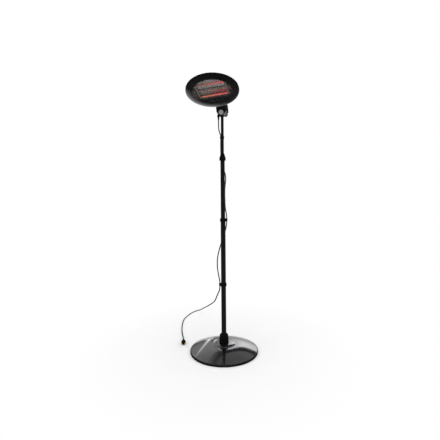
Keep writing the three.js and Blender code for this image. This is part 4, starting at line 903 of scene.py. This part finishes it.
# repeated work: the guard's woven wires and the coils in the tubes
class Tree:
    def __init__(self, name, inputs):
        self.tree = bpy.data.node_groups.new(name, "GeometryNodeTree")
        face = self.tree.interface
        face.new_socket("Geometry", in_out="INPUT", socket_type="NodeSocketGeometry")
        self.names = {}
        for label, value in inputs.items():
            kind = "NodeSocketInt" if isinstance(value, int) else "NodeSocketFloat"
            socket = face.new_socket(label, in_out="INPUT", socket_type=kind)
            self.names[label] = (socket.identifier, value)
        face.new_socket("Geometry", in_out="OUTPUT", socket_type="NodeSocketGeometry")
        self.start = self.tree.nodes.new("NodeGroupInput")
        self.end = self.tree.nodes.new("NodeGroupOutput")

    def given(self, label):
        return self.start.outputs[label]

    def node(self, kind, settings=None, values=None, out=0):
        made = self.tree.nodes.new(kind)
        for key, value in (settings or {}).items():
            setattr(made, key, value)
        for key, value in (values or {}).items():
            self.feed(made.inputs[key], value)
        return made.outputs[out]

    def feed(self, socket, value):
        if isinstance(value, bpy.types.NodeSocket):
            self.tree.links.new(value, socket)
        elif isinstance(value, list):
            for each in value:
                self.tree.links.new(each, socket)
        else:
            socket.default_value = value

    def math(self, operation, first, second=0.0):
        return self.node("ShaderNodeMath", {"operation": operation}, {0: first, 1: second})

    def wireAlong(self, curve):
        values = {"Resolution": 6, "Radius": self.given("Wire")}
        circle = self.node("GeometryNodeCurvePrimitiveCircle", {"mode": "RADIUS"}, values)
        values = {"Curve": curve, "Profile Curve": circle, "Fill Caps": True}
        return self.node("GeometryNodeCurveToMesh", None, values)

    def meshOn(self, piece, geometry, material):
        realized = self.node("GeometryNodeRealizeInstances", None, {0: geometry})
        shaded = self.node("GeometryNodeSetShadeSmooth", None, {0: realized})
        coloured = self.node("GeometryNodeSetMaterial", None, {"Geometry": shaded, "Material": material})
        self.tree.links.new(coloured, self.end.inputs[0])
        modifier = piece.modifiers.new(self.tree.name, "NODES")
        modifier.node_group = self.tree
        for identifier, value in self.names.values():
            modifier[identifier] = value
        plainMesh(piece, modifier)


guardValues = {
    "Radius": 0.1362, "Pitch": 0.009, "Wire": 0.0006, "Wave": 0.0005, "Bulge": 0.004, "Rows": 15, "Steps": 240,
}


def makeGuard(values, head):
    window = head["window"]
    rows = values["Rows"]
    frameShape = [(window - 0.1, -9.5), (window - 0.5, -9.1), (window - 0.5, -6.9), (window - 0.1, -6.5),
                  (window + head["guardWidth"], -6.5), (window + head["guardWidth"], -9.5)]
    piece = turnedMesh("Wire guard", frameShape, 128)
    weave = Tree("woven guard", values)
    pitch = weave.given("Pitch")
    reach = weave.math("MULTIPLY", pitch, rows)
    back = weave.math("MULTIPLY", reach, -1.0)
    ends = [weave.node("ShaderNodeCombineXYZ", None, {"X": x}) for x in (back, reach)]
    line = weave.node("GeometryNodeCurvePrimitiveLine", None, {"Start": ends[0], "End": ends[1]})
    line = weave.node("GeometryNodeResampleCurve", None, {"Curve": line, "Count": weave.given("Steps")})
    count = weave.math("ADD", weave.math("MULTIPLY", weave.given("Rows"), 2.0), 1.0)
    spots = weave.node(
        "GeometryNodeMeshLine", None,
        {"Count": count, "Start Location": weave.node("ShaderNodeCombineXYZ", None, {"Y": back}),
         "Offset": weave.node("ShaderNodeCombineXYZ", None, {"Y": pitch})},
    )
    lines = weave.node("GeometryNodeInstanceOnPoints", None, {"Points": spots, "Instance": line})
    lines = weave.node("GeometryNodeRealizeInstances", None, {0: lines})
    place = weave.node("ShaderNodeSeparateXYZ", None, {0: weave.node("GeometryNodeInputPosition")})
    x, y, z = place.node.outputs
    row = weave.math("ROUND", weave.math("DIVIDE", y, pitch))
    phase = weave.math("ADD", weave.math("DIVIDE", x, pitch), row)
    swing = weave.math("COSINE", weave.math("MULTIPLY", phase, math.pi))
    lift = weave.node("ShaderNodeCombineXYZ", None, {"Z": weave.math("MULTIPLY", swing, weave.given("Wave"))})
    along = weave.node("GeometryNodeSetPosition", None, {"Geometry": lines, "Offset": lift})
    across = weave.node(
        "GeometryNodeTransform", None,
        {"Geometry": along, "Rotation": (0.0, 0.0, math.pi / 2), "Scale": (1.0, 1.0, -1.0)},
    )
    both = weave.node("GeometryNodeJoinGeometry", None, {0: [along, across]})
    distance = weave.node(
        "ShaderNodeVectorMath", {"operation": "LENGTH"},
        {0: weave.node("ShaderNodeCombineXYZ", None, {"X": x, "Y": y})}, "Value",
    )
    share = weave.math("DIVIDE", distance, weave.given("Radius"))
    outside = weave.node("FunctionNodeCompare", {"operation": "GREATER_THAN"}, {0: share, 1: 1.0})
    trimmed = {"Geometry": both, "Selection": outside}
    inside = weave.node("GeometryNodeDeleteGeometry", {"domain": "POINT"}, trimmed)
    bowl = weave.math("SUBTRACT", weave.math("MULTIPLY", share, share), 1.0)
    sag = weave.math("MULTIPLY", bowl, weave.given("Bulge"))
    fall = weave.node("ShaderNodeCombineXYZ", None, {"Z": weave.math("SUBTRACT", sag, 0.008)})
    bowed = weave.node("GeometryNodeSetPosition", None, {"Geometry": inside, "Offset": fall})
    wires = weave.wireAlong(bowed)
    whole = weave.node("GeometryNodeJoinGeometry", None, {0: [weave.start.outputs[0], wires]})
    weave.meshOn(piece, whole, finishes["satin_black"])
    piece.data.transform(facePlace)
    finishPiece(piece, "wire_guard", "guard_steel", sharp=50)


makeGuard(guardValues, headValues)

coilValues = {"Reach": 0.108, "Radius": 0.0033, "Wire": 0.0006, "Turns": 66}


def makeCoil(number, values):
    piece = objectOf(f"Heating wire {number}", bpy.data.meshes.new("heating wire"))
    coil = Tree(f"coiled wire {number}", values)
    radius = coil.given("Radius")
    height = coil.math("MULTIPLY", coil.given("Reach"), 2.0)
    spiral = coil.node(
        "GeometryNodeCurveSpiral", None,
        {"Resolution": 14, "Rotations": coil.given("Turns"), "Start Radius": radius, "End Radius": radius,
         "Height": height},
    )
    down = coil.node("ShaderNodeCombineXYZ", None, {"Z": coil.math("MULTIPLY", coil.given("Reach"), -1.0)})
    spiral = coil.node("GeometryNodeTransform", None, {"Geometry": spiral, "Translation": down})
    coil.meshOn(piece, coil.wireAlong(spiral), finishes[f"element_{number}"])
    piece.data.transform(tubePlaces[number])
    finishPiece(piece, f"heating_element_{number}", f"element_{number}", sharp=60)


for coilNumber in (1, 2, 3):
    makeCoil(coilNumber, coilValues)
print("guard and coils made")

# bracket's round parts
knobValues = {
    "reach": 38.5, "angle": -30, "radius": 17.5, "grooves": 14, "capRadius": 14, "screw": 3.7,
    "front": 46.6, "back": 32.6,
}
pivotValues = {
    "radius": 18, "back": 32.6, "height": 5, "shank": 5, "end": 46.3, "slot": 3.4, "slotDepth": 1.6, "turn": 36,
}


def makeKnob(values):
    angle = math.radians(values["angle"])
    spot = Vector((values["reach"] * math.cos(angle), 0, values["reach"] * math.sin(angle))) * mm
    place = poleHeadPlace @ Matrix.Translation(spot) @ turnAbout("X", 90)
    radius, cap, screw = values["radius"], values["capRadius"], values["screw"]
    back, front = values["back"], values["front"]
    neck = radius * 0.62
    shape = [(0, 16), (screw, 16), (screw, back), (neck, back), (neck, back + 3), (radius - 1, back + 3.2)]
    side = [(radius - 0.3, back + 3.6), (radius, back + 4.6), (radius, front - 3), (radius - 0.5, front - 1.2),
            (radius - 1.7, front)]
    shape += splined(side, 5)
    shape += [(cap + 0.6, front), (cap + 0.3, front - 0.3), (cap + 0.3, front - 1.2), (0, front - 1.2)]

    def grip(turn, height):
        inside = min(1.0, max(0.0, (height - back - 4) / 2), max(0.0, (front - 0.8 - height) / 1.6))
        return 1 - 0.045 * inside * (0.5 + 0.5 * math.cos(turn * values["grooves"])) ** 4

    finishPiece(turnedMesh("Lean knob", shape, 168, place, grip), "lean_knob", sharp=44)
    disc = [(0, front - 0.9), (cap, front - 0.9), (cap, front + 0.5), (cap - 0.6, front + 1.0),
            (cap - 2, front + 1.1), (cap * 0.5, front + 1.0), (0, front + 0.9)]
    finishPiece(turnedMesh("Lean knob cap", disc, 96, place), "lean_knob_cap", sharp=50)


def cutBy(piece, tool):
    cutter = piece.modifiers.new("cut", "BOOLEAN")
    cutter.object = tool
    cutter.operation = "DIFFERENCE"
    cutter.solver = "EXACT"
    plainMesh(piece, cutter)
    bpy.data.objects.remove(tool)


def boxMesh(name, size, middle, place):
    work = bmesh.new()
    bmesh.ops.create_cube(work, size=1)
    mesh = bpy.data.meshes.new(name)
    work.to_mesh(mesh)
    work.free()
    scale = Matrix.Diagonal((*(Vector(size) * mm), 1))
    mesh.transform(place @ Matrix.Translation(Vector(middle) * mm) @ scale)
    return objectOf(name, mesh)


def makePivot(values):
    place = bracketPlace @ turnAbout("X", 90)
    radius, back, shank, end = values["radius"], values["back"], values["shank"], values["end"]
    front = back + values["height"]
    shape = [(0, -end), (shank - 0.8, -end), (shank, -end + 0.8), (shank, back), (radius - 0.4, back),
             (radius, back + 0.4)]
    edge = [(radius, front - 1.8), (radius - 0.4, front - 0.8), (radius - 1.4, front - 0.1), (radius - 3, front)]
    shape += splined(edge, 4) + [(0, front)]
    piece = turnedMesh("Pivot bolt", shape, 96, place)
    slotTurn = place @ turnAbout("Z", values["turn"])
    tool = boxMesh("slot", (2 * radius - 8, values["slot"], 2 * values["slotDepth"]), (0, 0, front), slotTurn)
    cutBy(piece, tool)
    finishPiece(piece, "pivot_bolt", bevel=0.0003, sharp=40)


makeKnob(knobValues)
makePivot(pivotValues)

# every piece that is the CAD solid with rounded edges
roundings = {
    "pole_foot": 0.6, "foot_bolt": 0.5, "lock_sleeve": 0.3, "cable_clip": 0.7, "inner_pole_bush": 0.4,
    "pole_head": 1.0, "bracket": 1.4, "bracket_cover": 0.9, "cover_screw": 0.4, "terminal_block": 0.6,
    "pivot_nut": 0.6, "tilt_bolt": 0.8, "tilt_nut": 0.6, "neck": 1.3, "neck_screw": 0.4, "bezel_screw": 0.3,
    "tube_holder": 0.3, "ceramic_bar": 0.7, "pole_head_screw": 0.3,
}


def roundingOf(node):
    stem = node.rstrip("0123456789").rstrip("_").removesuffix("_left").removesuffix("_right")
    for ending in ("", "_upper", "_middle", "_lower"):
        key = stem.removesuffix(ending) if ending else stem
        if key in roundings:
            return roundings[key]
    return 0.4


for solidNode in sorted(set(nodeSlots) - shaped):
    label = solidNode.replace("_", " ").capitalize()
    finishPiece(copyOf(solidNode, label), solidNode, bevel=roundingOf(solidNode) * mm, sharp=34)
print("rounded solids made")

# floor, world and lamps
stageValues = {
    "half": 9.0, "floor": colour(0.92, 0.92, 0.92), "floorLight": colour(0.94, 0.94, 0.94),
    "fade": (0.35, 1.1), "worldDiffuse": 0.75, "panelLeft": 0.55, "panelRight": 2.3, "ceiling": 1.0,
    "front": 0.8, "streak": 3.0,
}


def makeFloor(values):
    half = values["half"]
    corners = [(-half, -half, 0), (half, -half, 0), (half, half, 0), (-half, half, 0)]
    floor = objectFrom("Floor", corners, [(0, 1, 2, 3)])
    paint = Finish("pale floor")
    cloud = paint.noise(2.0, 4.0).over(0.2, 0.8)
    paint.set(Base_Color=paint.mix(cloud, values["floor"], values["floorLight"]), Roughness=0.7 + cloud * 0.1)
    away = paint.node("ShaderNodeVectorMath", {"operation": "LENGTH"}, {0: paint.place}, "Value")
    seen = paint.node("ShaderNodeLightPath", {}, {}, "Is Camera Ray") * away.over(*values["fade"])
    white = paint.node("ShaderNodeEmission", {}, {})
    painted = Wire(paint, paint.shader.outputs[0])
    whole = paint.node("ShaderNodeMixShader", {}, {0: seen, 1: painted, 2: white})
    paint.feed(paint.tree.nodes["Material Output"].inputs[0], whole)
    floor.data.materials.append(paint.material)


# what the glossy pieces mirror: a panel brighter to the right, a dark slanted gap, a ceiling and a thin streak
def makeWorld(values):
    world = bpy.data.worlds.new("studio")
    world.use_nodes = True
    scene.world = world
    sky = Shading(world.node_tree, "Generated")
    across, away, up = (sky.node("ShaderNodeSeparateXYZ", {}, {0: sky.place}, k) for k in range(3))
    slanted = up + across * 0.68
    panel = values["panelLeft"] + across.over(-0.06, 0.22) * (values["panelRight"] - values["panelLeft"])
    panel = panel * (up.over(0.04, 0.6) * 2.6 + 0.45)
    gap = slanted.over(0.635, 0.67) - slanted.over(0.80, 0.86)
    behind = panel + slanted.over(0.70, 0.78) * (values["ceiling"] - panel)
    behind = behind * (1.0 - gap * (across.over(-0.3, 0.05) * 0.77 + 0.2))
    streak = across + up * up * 0.9 + 0.11
    streak = (1.0 - streak.sum("ABSOLUTE", streak).over(0.0, 0.045)) * (1.0 - up.over(0.52, 0.62))
    behind = behind + streak * values["streak"]
    mirrored = values["front"] + away.over(-0.1, 0.25) * (behind - values["front"])
    kinds = ("Camera", "Glossy", "Transmission")
    camera, glossy, clear = (sky.node("ShaderNodeLightPath", {}, {}, f"Is {kind} Ray") for kind in kinds)
    strength = values["worldDiffuse"] + glossy * (mirrored - values["worldDiffuse"])
    strength = strength + camera.sum("MAXIMUM", camera, clear) * (1.0 - strength)
    background = sky.tree.nodes["Background"]
    sky.feed(background.inputs["Color"], (1, 1, 1, 1))
    sky.feed(background.inputs["Strength"], strength)


lampValues = {
    "overhead": {"place": (0.2, -0.6, 4.2), "aim": (0, 0, 0.6), "size": (3.4, 2.6), "power": 34},
    "left": {"place": (-3.0, -1.2, 2.4), "aim": (0, 0, 1.1), "size": (1.6, 2.6), "power": 18},
    "right": {"place": (3.0, -0.6, 2.2), "aim": (0, 0, 1.1), "size": (1.4, 2.6), "power": 18},
}


def makeLamps(values):
    for name, lamp in values.items():
        data = bpy.data.lights.new(name, "AREA")
        data.shape = "RECTANGLE"
        data.size, data.size_y = lamp["size"]
        data.energy = lamp["power"]
        made = bpy.data.objects.new(name, data)
        place, aim = Vector(lamp["place"]), Vector(lamp["aim"])
        made.location = place
        made.rotation_euler = (aim - place).to_track_quat("-Z", "Y").to_euler()
        made.visible_camera = False
        made.visible_glossy = False
        scene.collection.objects.link(made)


makeFloor(stageValues)
makeWorld(stageValues)
makeLamps(lampValues)
print("stage made")
